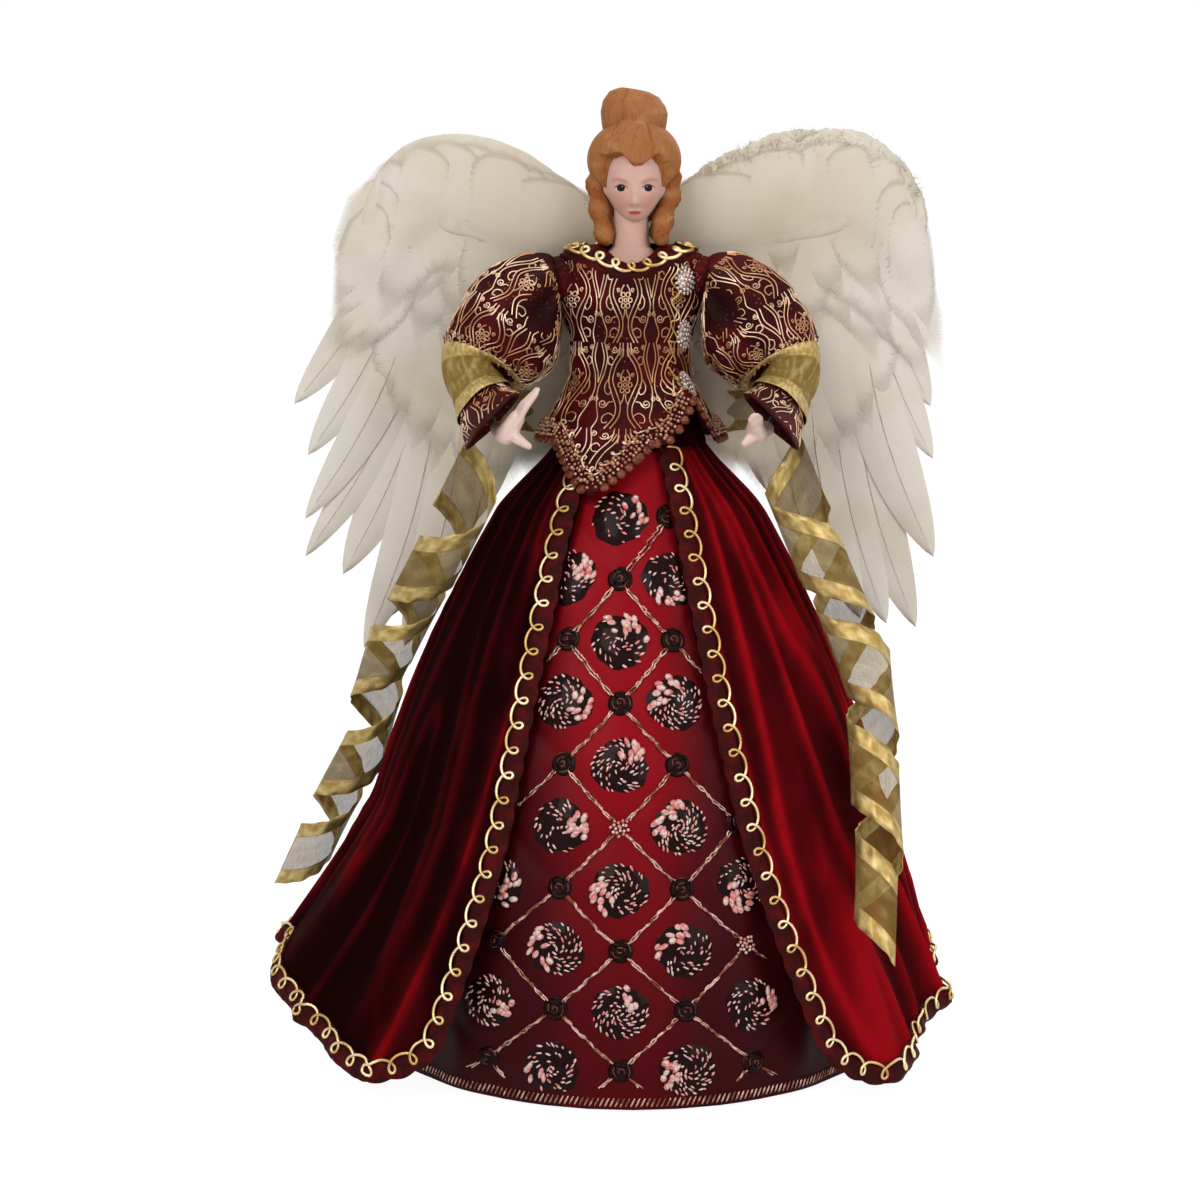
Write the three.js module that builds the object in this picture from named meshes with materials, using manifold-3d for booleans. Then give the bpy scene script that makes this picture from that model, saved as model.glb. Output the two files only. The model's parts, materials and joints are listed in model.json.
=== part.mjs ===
// Angel tree topper: a cloth-dressed figure on a hollow card cone, with feathered wings and a curled ribbon.
// Millimetres, +Z up. The figure faces -Y and is built about its own upright axis.
// The finished group is then moved so that its origin lies on the floor under the middle of its box.
import * as THREE from 'three';
import { mergeVertices } from 'three/addons/utils/BufferGeometryUtils.js';
import Module from 'manifold-3d';

const wasm = await Module();
wasm.setup();
const { lerp, smoothstep, degToRad } = THREE.MathUtils;

// Clearances and stock
const CLEAR = 0.35; // glue or seam gap between two pieces
const CARD = 1.6; // card of the cone
const CLOTH = 1.0; // dress cloth with its lining
const VELVET = 1.4; // overskirt cloth with its lining
const RIBBON = 0.6; // stiff ribbon
const BRAID = 1.4; // gimp braid, how far it stands up
const BRAID_WIDTH = 9;
const WIRE_R = 1.1; // arm and wing wires

// Cone that drops over the tip of the tree
const CONE_BASE_R = 104;
const CONE_TOP_R = 19;
const CONE_TOP_Z = 240;
const CONE_RIM = 4; // card turned in at the foot

// Body form, as half width and half depth at each height
const HIP_Z = 254;
const HIP_R = 28.5;
const BODY_WAIST_Z = 297;
const BODY_WAIST = [23, 17.5];
const CHEST_Z = 316;
const CHEST = [26, 19];
const BODY_TOP_Z = 331;
const BODY_TOP = [25.5, 16];
const SPIGOT_LENGTH = 22; // plug of the body form that stands in the cone
const DOWEL_R = 3;
const DOWEL_LENGTH = 70;
const DOWEL_IN_HEAD = 24; // how far the dowel stands up out of the body form
const dowelFoot = BODY_TOP_Z + DOWEL_IN_HEAD - DOWEL_LENGTH;

// Skirts
const SKIRT_TOP_Z = 258;
const HEM_Z = 1.5;
const HEM_STAND_OFF = 3; // from the cone's rim out to the underskirt's hem
const UNDERSKIRT_HEM_R = CONE_BASE_R + HEM_STAND_OFF;
const BELL = 1.9; // above 1 the skirt rounds out below the waist
const UNDERSKIRT_FOLDS = 18;
const UNDERSKIRT_FOLD_DEPTH = 3;
const STAND_OFF = 0.9; // least gap between the two skirts
const GATHER = 8.5; // how much further the gathered velvet stands off at the sides and back
const OVERSKIRT_FOLDS = 11;
const OVERSKIRT_FOLD_DEPTH = 6;
const FLARE_FROM = 0.58; // share of the skirt's height where the hem starts to flare
const FLARE = { front: 20, left: 56, right: 16, back: 2 };
const HEM_LIFT = { front: 2.5, left: 36, right: 27, back: 5 };
const CORNER_LIFT = 22; // rounding of the overskirt's front corners
const CORNER_SPAN = 0.05; // share of the hem that a corner takes up
const OPENING_LEFT = { top: 27, spread: 10, power: 3 }; // degrees from the front
const OPENING_RIGHT = { top: 19, spread: 17, power: 2 };

// Bodice
const SHOULDER_Z = 337.5;
const SHOULDER = [27.5, 16.5];
const NECK_OPENING = [12, 11.5];
const NECK_OPENING_Z = 341;
const NECKLINE_DIP = 8; // front of the neckline below its sides
const SHOULDER_SHARE = 0.16; // share of the bodice from the neck to the shoulder line
const PEPLUM_RISE = 30; // where the peplum starts to flare, above the top of the skirts
const PEPLUM_TOP_Z = SKIRT_TOP_Z + PEPLUM_RISE;
const PEPLUM_FLARE = 3.5;
const PEPLUM_LENGTH = 28; // at the sides
const PEPLUM_POINT = { at: -21, drop: 21, span: 34 }; // degrees from the front, and millimetres
const PEPLUM_NOTCH = { at: 44, drop: -17, span: 22 };
const BUTTON_R = 5.2;
const BUTTON_HEIGHT = 3;
const BUTTON_SHARES = { top: 0.13, middle: 0.43, bottom: 0.72 }; // of the way from the shoulder to the hem
const BUTTON_AT = 62; // degrees from the front

// Head
const HEAD_X = 1.3; // the head sits a little to the figure's left
const HEAD_Y = -2;
const CHIN_Z = 350;
const HEAD_HEIGHT = 34;
const HEAD_HALF_WIDTH = 12.6;
const HEAD_HALF_DEPTH = 14;
const NECK_R = 7.2;
const BUST = [20, 10.5]; // half width and half depth of the shoulder plate
const HAIR_HALF_WIDTH = 19.6;
const HAIR_HALF_DEPTH = 18.5;
const HAIR_Z = 376;
const HAIR_HALF_HEIGHT = 16.5;
const BUN_HALF_WIDTH = 14.2;
const FIGURE_TOP_Z = 406;
const RINGLET_R = 4;
const RINGLET_TURNS = 2.5;
const RINGLET_SWING = 1.4; // how far a ringlet winds off its plumb line

// Arms, one side; the other side mirrors it
const SHOULDER_JOINT_Z = 325;
const ARM_PIN = 9; // straight end of the wire inside the body form
const ELBOW = [64, -15, 286];
const WRIST = [54, -47, 267];
const ELBOW_SHARE = 0.62; // share of the wire where the puff ends
const CUFF_SHARE = 0.93; // share of the wire where the cuff opens
const ARMHOLE_R = 4;
const PUFF_R = 23.5;
const PUFF_CUFF_R = 10.5;
const LOWER_SLEEVE_R = 8.5;
const CUFF_R = 13;
const CUFF_MOUTH = [-0.72, -0.45, -0.53]; // the way that the cuff opens: outward, back and up
const PUFF_PLEATS = 7;
const PUFF_PLEAT_DEPTH = 1.1;
const RIBBON_WRAP_R = 12;
const WRAP_SPAN = [0.2, 0.66]; // shares of the lower sleeve that the ribbon covers

// Cast hand
const PALM = [5.2, 4.2, 5.4]; // half sizes
// Tips from the middle of the palm, outward, back and up: one hand points up, the other forward
const FINGERS = { left: [-10, -4, 15], right: [-3, -12, 7] };
const THUMB = { left: [-8, -5, -4.5], right: [-8, -3, -7.5] };
const FINGERS_R = 2.8;
const THUMB_R = 2.4;
const FOREARM_R = 3.6;

// Wings
const PLATE = { width: 30, height: 40, thick: 2, foot: PEPLUM_TOP_Z + 2, corner: 5 };
const HINGE_X = 9;
const HINGE_TUBE_R = 2.6;
const HINGE_TUBE_SPAN = [4, 26]; // up from the foot of the plate
const WING_SWEEP = 8; // degrees back from square
const PAD = 1.4;
const BLADE = 0.5; // feather thickness at the quill
const LAYER = 0.9; // step from one layer of feathers to the next
const DOWN_HALF_THICK = 2.6;
const DOWN_HALF_WIDTH = [7, 22]; // at the ends of the roll and at its middle
// Quill root out from the hinge and up, lean from straight down in degrees, length and width
const FLIGHT_FEATHERS = {
  left: [
    [86, 66, 32, 100, 24], [84, 53, 27.5, 106, 25], [80, 40, 26.5, 122, 25], [77, 28, 27, 128, 24],
    [72, 15, 14.7, 146, 27], [62, 10, 12, 138, 27], [50, 6, 10, 80, 26],
  ],
  right: [
    [96, 60, 18.6, 84, 26], [92, 48, 19.5, 96, 26], [90, 30, 16.8, 121, 30], [86, 18, 13.3, 139, 26],
    [78, 10, 11.9, 128, 24], [68, 7, 11.5, 122, 24], [54, 4, 10, 84, 25],
  ],
};
const QUILL_BOW = 0.05; // how far a quill bows, as a share of its length
const FLIGHT_ROWS = [0.01, 0.12, 0.3, 0.5, 0.7, 0.86, 0.95, 0.995];
const COVERT_ROWS = [0.01, 0.3, 0.7, 0.9, 0.99];
const WING_RISE = 78; // top edge of a wing's card above the foot of the plate
// Outlines in shares of the wing's reach and rise
const WING_SPAR = [[0.04, 0.56], [0.3, 0.82], [0.6, 0.95], [0.88, 0.92], [1, 0.72]];
const PAD_TOP = [[0.085, 0.59], [0.3, 0.86], [0.62, 1], [0.92, 0.95], [1.03, 0.69]];
const PAD_FOOT = [[0.9, 0.15], [0.62, -0.08], [0.3, 0.08], [0.095, 0.385]];
const DOWN_CREST = [[0.105, 0.615], [0.32, 0.81], [0.6, 0.96], [0.84, 0.975], [1, 0.82], [1.1, 0.59]];
const COVERTS = { count: 6, lengths: [78, 44], width: 28, lean: [22, 4] };

// Ribbon stole
const RIBBON_WIDTH = 32;
const SWAG_HALF_WIDTH = [8, 13]; // bunched at the arm, wider behind the back
const CURL_R = 11.5; // at the top of the tail
const CURL_END_R = 9;
const CURL_TURNS = 4;
const CURL_AT = { left: [-92, -112], right: [84, 46] }; // degrees from the front, at the top and the end
const CURL_DROP = { left: 34.3, right: 31.2 }; // from the middle of the wrap down to the top of the tail
const CURL_STEPS = 13; // facets in a turn
const CURL_OFFSET = 1.8; // top of the tail further out than the middle of the wrap
const CURL_FOOT_Z = { left: 60, right: 74 };

const SIDES = { left: -1, right: 1 };
const materials = {
  card: [0xb9a583, 0.9, 0], foam: [0xe9e4da, 0.9, 0], wood: [0xc49a66, 0.7, 0], wire: [0x8d8f92, 0.4, 0.9],
  satin: [0x8a0f16, 0.45, 0], velvet: [0x4a060b, 0.75, 0], brocade: [0x541014, 0.55, 0.1],
  braid: [0x6b3a22, 0.5, 0.4], gold: [0xc9a227, 0.35, 0.8], silver: [0xc9ccd0, 0.3, 0.9],
  bisque: [0xe3bfae, 0.6, 0], hair: [0xb0682f, 0.7, 0], resin: [0xe8cfc4, 0.5, 0],
  feather: [0xe9e3d6, 0.85, 0], ribbon: [0xb89a45, 0.35, 0.6],
};
for (const [name, [color, roughness, metalness]] of Object.entries(materials)) {
  materials[name] = new THREE.MeshStandardMaterial({ name, color, roughness, metalness });
}

const figure = new THREE.Group();
const point = (x, y, z) => new THREE.Vector3(x, y, z);
const polar = (angle, radius, z) => point(radius * Math.sin(angle), -radius * Math.cos(angle), z);
const range = (count, from = 0, to = 1) => [...Array(count + 1).keys()].map((i) => lerp(from, to, i / count));
const round = (count) => range(count, 0, 2 * Math.PI).slice(0, count);
const wave = (x) => 0.5 - 0.5 * Math.cos(x);

// Solids

function outward(geometry) {
  const bare = new THREE.BufferGeometry().setAttribute('position', geometry.getAttribute('position'));
  bare.setIndex(geometry.index);
  const merged = mergeVertices(bare, 1e-4);
  const at = (i) => point().fromBufferAttribute(merged.attributes.position, merged.index.array[i]);
  const faces = [];
  let volume = 0;
  for (let i = 0; i < merged.index.count; i += 3) {
    const face = Array.from(merged.index.array.slice(i, i + 3));
    if (new Set(face).size < 3) continue;
    faces.push(face);
    volume += at(i).dot(at(i + 1).cross(at(i + 2)));
  }
  merged.setIndex(faces.flatMap((face) => (volume < 0 ? face.reverse() : face)));
  merged.computeVertexNormals();
  return merged;
}

function solidOf(points, faces) {
  const geometry = new THREE.BufferGeometry().setFromPoints(points);
  geometry.setIndex(faces.flat());
  return outward(geometry);
}

// Skins a row of rings. The row's ends are capped, or joined to each other to make one endless tube.
function loft(rings, joined = false) {
  const sides = rings[0].length;
  const points = rings.flat();
  const faces = [];
  const id = (ring, side) => (ring % rings.length) * sides + (side % sides);
  for (let i = 0; i < rings.length - (joined ? 0 : 1); i++) {
    for (let k = 0; k < sides; k++) {
      faces.push([id(i, k), id(i, k + 1), id(i + 1, k + 1)], [id(i, k), id(i + 1, k + 1), id(i + 1, k)]);
    }
  }
  if (!joined) {
    for (const end of [0, rings.length - 1]) {
      const middle = rings[end].reduce((sum, p) => sum.add(p), point(0, 0, 0)).divideScalar(sides);
      points.push(middle);
      for (let k = 0; k < sides; k++) {
        const edge = [id(end, k + 1), id(end, k)];
        faces.push([...(end ? edge.reverse() : edge), points.length - 1]);
      }
    }
  }
  return solidOf(points, faces);
}

function normalOf(surface, u, v) {
  const step = 1e-3;
  const across = surface(u + step, v).sub(surface(u - step, v));
  const down = surface(u, v + step).sub(surface(u, v - step));
  return down.cross(across).normalize();
}

// A sheet of cloth over surface(u, v), from low to high above it. A wrapped sheet closes on itself across u.
function clothSolid(surface, us, vs, low, high, wrapped = false) {
  const points = [];
  for (const height of [high, low]) {
    for (const u of us) {
      for (const v of vs) points.push(surface(u, v).addScaledVector(normalOf(surface, u, v), height));
    }
  }
  const faces = [];
  const quad = (a, b, c, d) => faces.push([a, b, c], [a, c, d]);
  const id = (face, i, j) => (face * us.length + (i % us.length)) * vs.length + j;
  const foot = vs.length - 1;
  const lastColumn = us.length - 1;
  for (let i = 0; i < us.length - (wrapped ? 0 : 1); i++) {
    for (let j = 0; j < foot; j++) {
      quad(id(0, i, j), id(0, i + 1, j), id(0, i + 1, j + 1), id(0, i, j + 1));
      quad(id(1, i, j), id(1, i, j + 1), id(1, i + 1, j + 1), id(1, i + 1, j));
    }
    quad(id(0, i, 0), id(1, i, 0), id(1, i + 1, 0), id(0, i + 1, 0));
    quad(id(0, i, foot), id(0, i + 1, foot), id(1, i + 1, foot), id(1, i, foot));
  }
  for (let j = 0; j < foot && !wrapped; j++) {
    quad(id(0, 0, j), id(0, 0, j + 1), id(1, 0, j + 1), id(1, 0, j));
    quad(id(0, lastColumn, j), id(1, lastColumn, j), id(1, lastColumn, j + 1), id(0, lastColumn, j + 1));
  }
  return solidOf(points, faces);
}

// A band laid on a surface along stations, each a pair of surface places that are the band's two edges.
function bandSolid(surface, stations, low, high, joined = false) {
  const rings = stations.map(([edge, other]) => {
    const raised = (place, height) => surface(...place).addScaledVector(normalOf(surface, ...place), height);
    return [raised(edge, low), raised(other, low), raised(other, high), raised(edge, high)];
  });
  return loft(rings, joined);
}

function tube(curve, radius, sides, steps) {
  const section = new THREE.Shape().absarc(0, 0, radius, 0, 2 * Math.PI);
  const options = { steps, extrudePath: curve, bevelEnabled: false, curveSegments: sides / 2 };
  return outward(new THREE.ExtrudeGeometry(section, options));
}

// Rings about a curve. The radius follows the share of the way along it and the angle round it.
// A ring is square to the curve unless slant(share, offset, tangent) moves its points along the curve.
function ringsAlong(curve, shares, sides, radius, slant = () => 0) {
  const frames = curve.computeFrenetFrames(100);
  return shares.map((share) => {
    const i = Math.round(share * 100);
    const tangent = curve.getTangentAt(share);
    return round(sides).map((angle) => {
      const offset = point(0, 0, 0)
        .addScaledVector(frames.normals[i], radius(share, angle) * Math.cos(angle))
        .addScaledVector(frames.binormals[i], radius(share, angle) * Math.sin(angle));
      return curve.getPointAt(share).add(offset).addScaledVector(tangent, slant(share, offset, tangent));
    });
  });
}

function lathe(profile, sides) {
  const points = profile.map(([radius, z]) => new THREE.Vector2(radius, z));
  return outward(new THREE.LatheGeometry(points, sides).rotateX(Math.PI / 2));
}

function ellipsoid(middle, size, across, up) {
  const ball = new THREE.SphereGeometry(1, across, up).rotateX(Math.PI / 2);
  return outward(ball.scale(...size).translate(...middle));
}

function toManifold(geometry) {
  const clean = outward(geometry);
  const vertProperties = clean.attributes.position.array;
  const triVerts = new Uint32Array(clean.index.array);
  return new wasm.Manifold(new wasm.Mesh({ numProp: 3, vertProperties, triVerts }));
}

function combine(base, added = [], removed = []) {
  let made = toManifold(base);
  for (const piece of added) made = made.add(toManifold(piece));
  for (const piece of removed) made = made.subtract(toManifold(piece));
  const mesh = made.getMesh();
  const geometry = new THREE.BufferGeometry();
  geometry.setAttribute('position', new THREE.BufferAttribute(new Float32Array(mesh.vertProperties), 3));
  geometry.setIndex(Array.from(mesh.triVerts));
  geometry.computeVertexNormals();
  return geometry;
}

function piece(name, geometry, material, parent = figure) {
  const mesh = new THREE.Mesh(geometry, materials[material]);
  mesh.name = name;
  parent.add(mesh);
  return mesh;
}

function rod(radius, from, to, sides = 16) {
  return tube(new THREE.LineCurve3(from, to), radius, sides, 1);
}

// Body form and cone

const body = [
  [CONE_TOP_Z, CONE_TOP_R + CARD, CONE_TOP_R + CARD], [HIP_Z, HIP_R, HIP_R], [BODY_WAIST_Z, ...BODY_WAIST],
  [CHEST_Z, ...CHEST], [BODY_TOP_Z, ...BODY_TOP], [SHOULDER_Z, ...SHOULDER],
];

// Half width and half depth of the body at a height
function bodySection(z) {
  const above = body.findIndex(([height]) => height >= z);
  const [low, high] = [body[Math.max(above - 1, 0)], body[above < 0 ? body.length - 1 : above]];
  const share = smoothstep(z, low[0], high[0]);
  return [lerp(low[1], high[1], share), lerp(low[2], high[2], share)];
}

function ovalRadius([wide, deep], angle) {
  return 1 / Math.hypot(Math.sin(angle) / wide, Math.cos(angle) / deep);
}

function coneRadius(z) {
  return lerp(CONE_BASE_R, CONE_TOP_R, z / CONE_TOP_Z);
}

function makeCone() {
  piece('base_cone', lathe([
    [CONE_BASE_R - CONE_RIM, 0], [CONE_BASE_R, 0], [CONE_TOP_R, CONE_TOP_Z], [CONE_TOP_R - CARD, CONE_TOP_Z],
    [CONE_BASE_R - CARD - coneRadius(0) + coneRadius(CARD), CARD], [CONE_BASE_R - CONE_RIM, CARD],
    [CONE_BASE_R - CONE_RIM, 0],
  ], 36), 'card');
}

function makeBodyForm() {
  const foot = CONE_TOP_Z + CLEAR;
  const heights = [foot, HIP_Z, ...range(3, HIP_Z, BODY_WAIST_Z).slice(1), CHEST_Z, BODY_TOP_Z];
  const around = round(22);
  const ring = (z) => around.map((angle) => polar(angle, ovalRadius(bodySection(z), angle), z));
  const torso = loft(heights.map(ring));
  const plugR = CONE_TOP_R - CARD - CLEAR;
  const plugFoot = foot - SPIGOT_LENGTH;
  const plug = lathe([[0, plugFoot], [plugR, plugFoot], [plugR, foot + 1], [0, foot + 1]], 28);
  const dowelHole = rod(DOWEL_R + CLEAR, point(0, 0, dowelFoot - CLEAR), point(0, 0, BODY_TOP_Z + 1));
  const armHoles = Object.values(SIDES).map((side) => {
    const at = (x) => point(side * x, 0, SHOULDER_JOINT_Z);
    return rod(WIRE_R + CLEAR, at(CHEST[0] - ARM_PIN - CLEAR), at(1.5 * CHEST[0]), 12);
  });
  piece('body_form', combine(torso, [plug], [dowelHole, ...armHoles]), 'foam');
}

function makeDowel() {
  piece('neck_dowel', rod(DOWEL_R, point(0, 0, dowelFoot), point(0, 0, dowelFoot + DOWEL_LENGTH)), 'wood');
}

// Skirts

const waistR = HIP_R + CLEAR;
const frontness = (angle) => Math.max(0, Math.cos(angle)) ** 2;

function underskirtRadius(z) {
  const share = Math.min(1, Math.max(0, (SKIRT_TOP_Z - z) / (SKIRT_TOP_Z - HEM_Z)));
  return lerp(waistR, UNDERSKIRT_HEM_R, 1 - (1 - share) ** BELL);
}

function underskirt(angle, share) {
  const z = lerp(SKIRT_TOP_Z, HEM_Z, share);
  const folds = UNDERSKIRT_FOLD_DEPTH * wave(UNDERSKIRT_FOLDS * angle) * share ** 2 * (1 - frontness(angle));
  return polar(angle, underskirtRadius(z) - folds * (share < 1 ? 1 : 0.3), z);
}

// One of four values by direction, smoothly between them: the front's holds as far as the front corners
function byDirection({ front, left, right, back }, angle) {
  const turn = Math.abs(Math.atan2(Math.sin(angle), Math.cos(angle)));
  const sideways = Math.sin(angle) < 0 ? left : right;
  if (turn < Math.PI / 2) return lerp(front, sideways, smoothstep(turn, Math.PI / 5, Math.PI / 2));
  return lerp(sideways, back, smoothstep(turn, Math.PI / 2, Math.PI));
}

function overskirtRadius(angle, z) {
  const share = Math.min(1, (SKIRT_TOP_Z - z) / (SKIRT_TOP_Z - HEM_Z));
  const gather = GATHER * smoothstep(share, 0, 0.12) * (1 - 0.75 * frontness(angle));
  const flare = byDirection(FLARE, angle) * Math.max(0, (share - FLARE_FROM) / (1 - FLARE_FROM)) ** 1.3;
  return underskirtRadius(z) + 1.25 * CLOTH + STAND_OFF + gather + flare;
}

const opening = ({ top, spread, power }, share) => degToRad(top + spread * share ** power);

// Across runs from the right edge of the opening round the back to the left edge, and share from waist to hem
function overskirt(across, share) {
  const angle = lerp(opening(OPENING_RIGHT, share), 2 * Math.PI - opening(OPENING_LEFT, share), across);
  const edge = Math.min(Math.max(across, 0), Math.max(1 - across, 0));
  const corner = CORNER_LIFT * Math.max(0, 1 - edge / CORNER_SPAN) ** 2;
  const hem = HEM_Z + byDirection(HEM_LIFT, angle) + corner;
  const z = lerp(SKIRT_TOP_Z, hem, share);
  const depth = OVERSKIRT_FOLD_DEPTH * Math.max(0, share) ** 1.4 * smoothstep(edge, 0, 0.06);
  return polar(angle, overskirtRadius(angle, z) + depth * wave(OVERSKIRT_FOLDS * 2 * Math.PI * across), z);
}

const overskirtColumns = (() => {
  const edge = BRAID_WIDTH / (2 * Math.PI * (UNDERSKIRT_HEM_R + FLARE.front));
  return [0, edge, ...range(42, 2 * edge, 1 - 2 * edge), 1 - edge, 1];
})();
const overskirtRows = (() => {
  const edge = BRAID_WIDTH / (SKIRT_TOP_Z - HEM_Z);
  return [0, 0.06, 0.14, 0.3, 0.5, 0.68, 0.84, 1 - edge, 1];
})();

function makeSkirts() {
  const around = round(48);
  const down = [0, 0.06, 0.14, 0.3, 0.5, 0.75, 1];
  piece('underskirt', clothSolid(underskirt, around, down, 0, CLOTH, true), 'satin');
  piece('overskirt', clothSolid(overskirt, overskirtColumns, overskirtRows, 0, VELVET), 'velvet');
}

// One length of gimp down the right edge, round the hem and up the left edge
function makeOverskirtBraid() {
  const columns = overskirtColumns;
  const rows = overskirtRows;
  const lastColumn = columns.length - 1;
  const foot = rows.length - 1;
  const inner = { right: columns[1], left: columns[lastColumn - 1], hem: rows[foot - 1] };
  const right = rows.slice(0, foot).map((row) => [[0, row], [inner.right, row]]);
  const hem = columns.slice(2, lastColumn - 1).map((column) => [[column, 1], [column, inner.hem]]);
  const left = rows.slice(0, foot).map((row) => [[1, row], [inner.left, row]]).reverse();
  const rightCorner = [[0, 1], [inner.right, inner.hem]];
  const leftCorner = [[1, 1], [inner.left, inner.hem]];
  const stations = [...right, rightCorner, ...hem, leftCorner, ...left];
  const low = VELVET + 1.5 * CLEAR;
  piece('overskirt_braid', bandSolid(overskirt, stations, low, low + BRAID), 'braid');
}

// Bodice

function peplumHem(angle) {
  const turn = THREE.MathUtils.radToDeg(Math.atan2(Math.sin(angle), Math.cos(angle)));
  const bump = ({ at, drop, span }) => drop * Math.max(0, 1 - Math.abs(turn - at) / span) ** 1.2;
  return PEPLUM_TOP_Z - PEPLUM_LENGTH - bump(PEPLUM_POINT) - bump(PEPLUM_NOTCH);
}

// Inner face of the bodice: over the shoulder, down the body and out over the skirt
function bodice(angle, share) {
  const dip = NECKLINE_DIP * frontness(angle);
  const shoulderZ = SHOULDER_Z - dip - 1.5 * frontness(angle + Math.PI);
  const neckZ = NECK_OPENING_Z - dip;
  if (share < SHOULDER_SHARE) {
    const out = share / SHOULDER_SHARE;
    const section = [0, 1].map((i) => lerp(NECK_OPENING[i], SHOULDER[i], out));
    return polar(angle, ovalRadius(section, angle), lerp(neckZ, shoulderZ, Math.max(0, out) ** 1.6));
  }
  const hem = peplumHem(angle);
  const z = lerp(shoulderZ, hem, (share - SHOULDER_SHARE) / (1 - SHOULDER_SHARE));
  const waist = ovalRadius(bodySection(PEPLUM_TOP_Z), angle) + 2.5 * CLEAR;
  const close = ovalRadius(bodySection(z), angle) + 2.5 * CLEAR;
  const over = overskirtRadius(angle, hem) + VELVET + BRAID + 4 * CLEAR + PEPLUM_FLARE * Math.sin(angle) ** 2;
  const out = Math.max(0, (PEPLUM_TOP_Z - z) / (PEPLUM_TOP_Z - hem)) ** 1.2;
  return polar(angle, Math.max(close, lerp(waist, over, out)), z);
}

const bodiceRows = [0, 0.08, SHOULDER_SHARE, 0.28, 0.42, 0.56, 0.7, 0.82, 0.92, 1];
const bodiceColumns = round(36);

function makeBodice() {
  const armholes = Object.values(SIDES).map((side) => {
    const at = (x) => point(side * x, 0, SHOULDER_JOINT_Z);
    return rod(ARMHOLE_R, at(BODY_WAIST[0]), at(1.5 * CHEST[0]), 12);
  });
  const cloth = clothSolid(bodice, bodiceColumns, bodiceRows, 0, CLOTH, true);
  piece('bodice', combine(cloth, [], armholes), 'brocade');
  const low = CLOTH + 1.5 * CLEAR;
  const hem = bodiceColumns.map((angle) => [[angle, 1], [angle, bodiceRows.at(-2)]]);
  piece('bodice_hem_trim', bandSolid(bodice, hem, low, low + BRAID, true), 'braid');
  const neck = bodiceColumns.map((angle) => [[angle, SHOULDER_SHARE], [angle, bodiceRows[1]]]);
  piece('neck_trim', bandSolid(bodice, neck, low, low + BRAID, true), 'gold');
}

// Jewelled buttons down the closing edge
function makeButtons() {
  const angle = degToRad(BUTTON_AT);
  const curve = BUTTON_R ** 2 / 2 / BODY_WAIST[1]; // the bodice falls away this far under a button's rim
  const profile = range(4, 0, Math.PI / 2)
    .map((turn) => [BUTTON_R * Math.cos(turn), BUTTON_HEIGHT * (0.3 + 0.7 * Math.sin(turn))]);
  for (const [name, down] of Object.entries(BUTTON_SHARES)) {
    const share = lerp(SHOULDER_SHARE, 1, down);
    const button = piece(`silver_button_${name}`, lathe([[0, 0], [BUTTON_R, 0], ...profile], 12), 'silver');
    const normal = normalOf(bodice, angle, share);
    button.position.copy(bodice(angle, share)).addScaledVector(normal, CLOTH + CLEAR + curve);
    button.quaternion.setFromUnitVectors(point(0, 0, 1), normal);
  }
}

// Head

const bump = (x, middle, width) => Math.exp(-(((x - middle) / width) ** 2));

// Radius of the head about its own axis, grown by extra. Up is 0 at the chin and 1 at the crown.
function headPoint(angle, up, extra) {
  const turn = Math.atan2(Math.sin(angle), Math.cos(angle));
  const dome = Math.sqrt(Math.max(0, 1 - (2 * up - 1) ** 2)) ** 0.8;
  const jaw = lerp(0.78, 1, smoothstep(up, 0, 0.5));
  const oval = ovalRadius([HEAD_HALF_WIDTH * jaw, HEAD_HALF_DEPTH], turn) * Math.max(dome, 0.02);
  const nose = 2.2 * bump(turn, 0, 0.16) * bump(up, 0.3, 0.06);
  const chin = 1.3 * bump(turn, 0, 0.45) * bump(up, 0.06, 0.1);
  const lips = 0.7 * bump(turn, 0, 0.2) * bump(up, 0.17, 0.05);
  const eyes = -0.9 * bump(Math.abs(turn), 0.42, 0.16) * bump(up, 0.45, 0.06);
  const radius = oval + nose + chin + lips + eyes + extra;
  const z = CHIN_Z + up * HEAD_HEIGHT + extra * (2 * up - 1);
  return polar(turn, radius, z).add(point(HEAD_X, HEAD_Y, 0));
}

function headSolid(extra, sides, ups) {
  const around = round(sides);
  return loft(ups.map((up) => around.map((angle) => headPoint(angle, up, extra))));
}

function makeHead() {
  const foot = BODY_TOP_Z + CLEAR;
  const levels = [
    [foot, ...BUST], [foot + 1.5, 0.9 * BUST[0], 0.95 * BUST[1]], [foot + 4, 0.6 * BUST[0], 0.84 * BUST[1]],
    [foot + 8, NECK_R + 0.6, NECK_R + 0.4], [foot + 12, NECK_R, NECK_R], [CHIN_Z + 10, NECK_R, NECK_R],
  ];
  const ups = [0.004, 0.05, 0.11, 0.17, 0.23, 0.29, 0.36, 0.45, 0.55, 0.67, 0.8, 0.91, 0.996];
  const around = round(16);
  const ring = ([z, ...section]) => around.map((angle) => polar(angle, ovalRadius(section, angle), z));
  const bust = loft(levels.map(ring));
  const dowelTop = dowelFoot + DOWEL_LENGTH;
  const dowelHole = rod(DOWEL_R + CLEAR, point(0, 0, foot - 1), point(0, 0, dowelTop + CLEAR));
  piece('head_bust', combine(headSolid(0, 24, ups), [bust], [dowelHole]), 'bisque');
}

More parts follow.
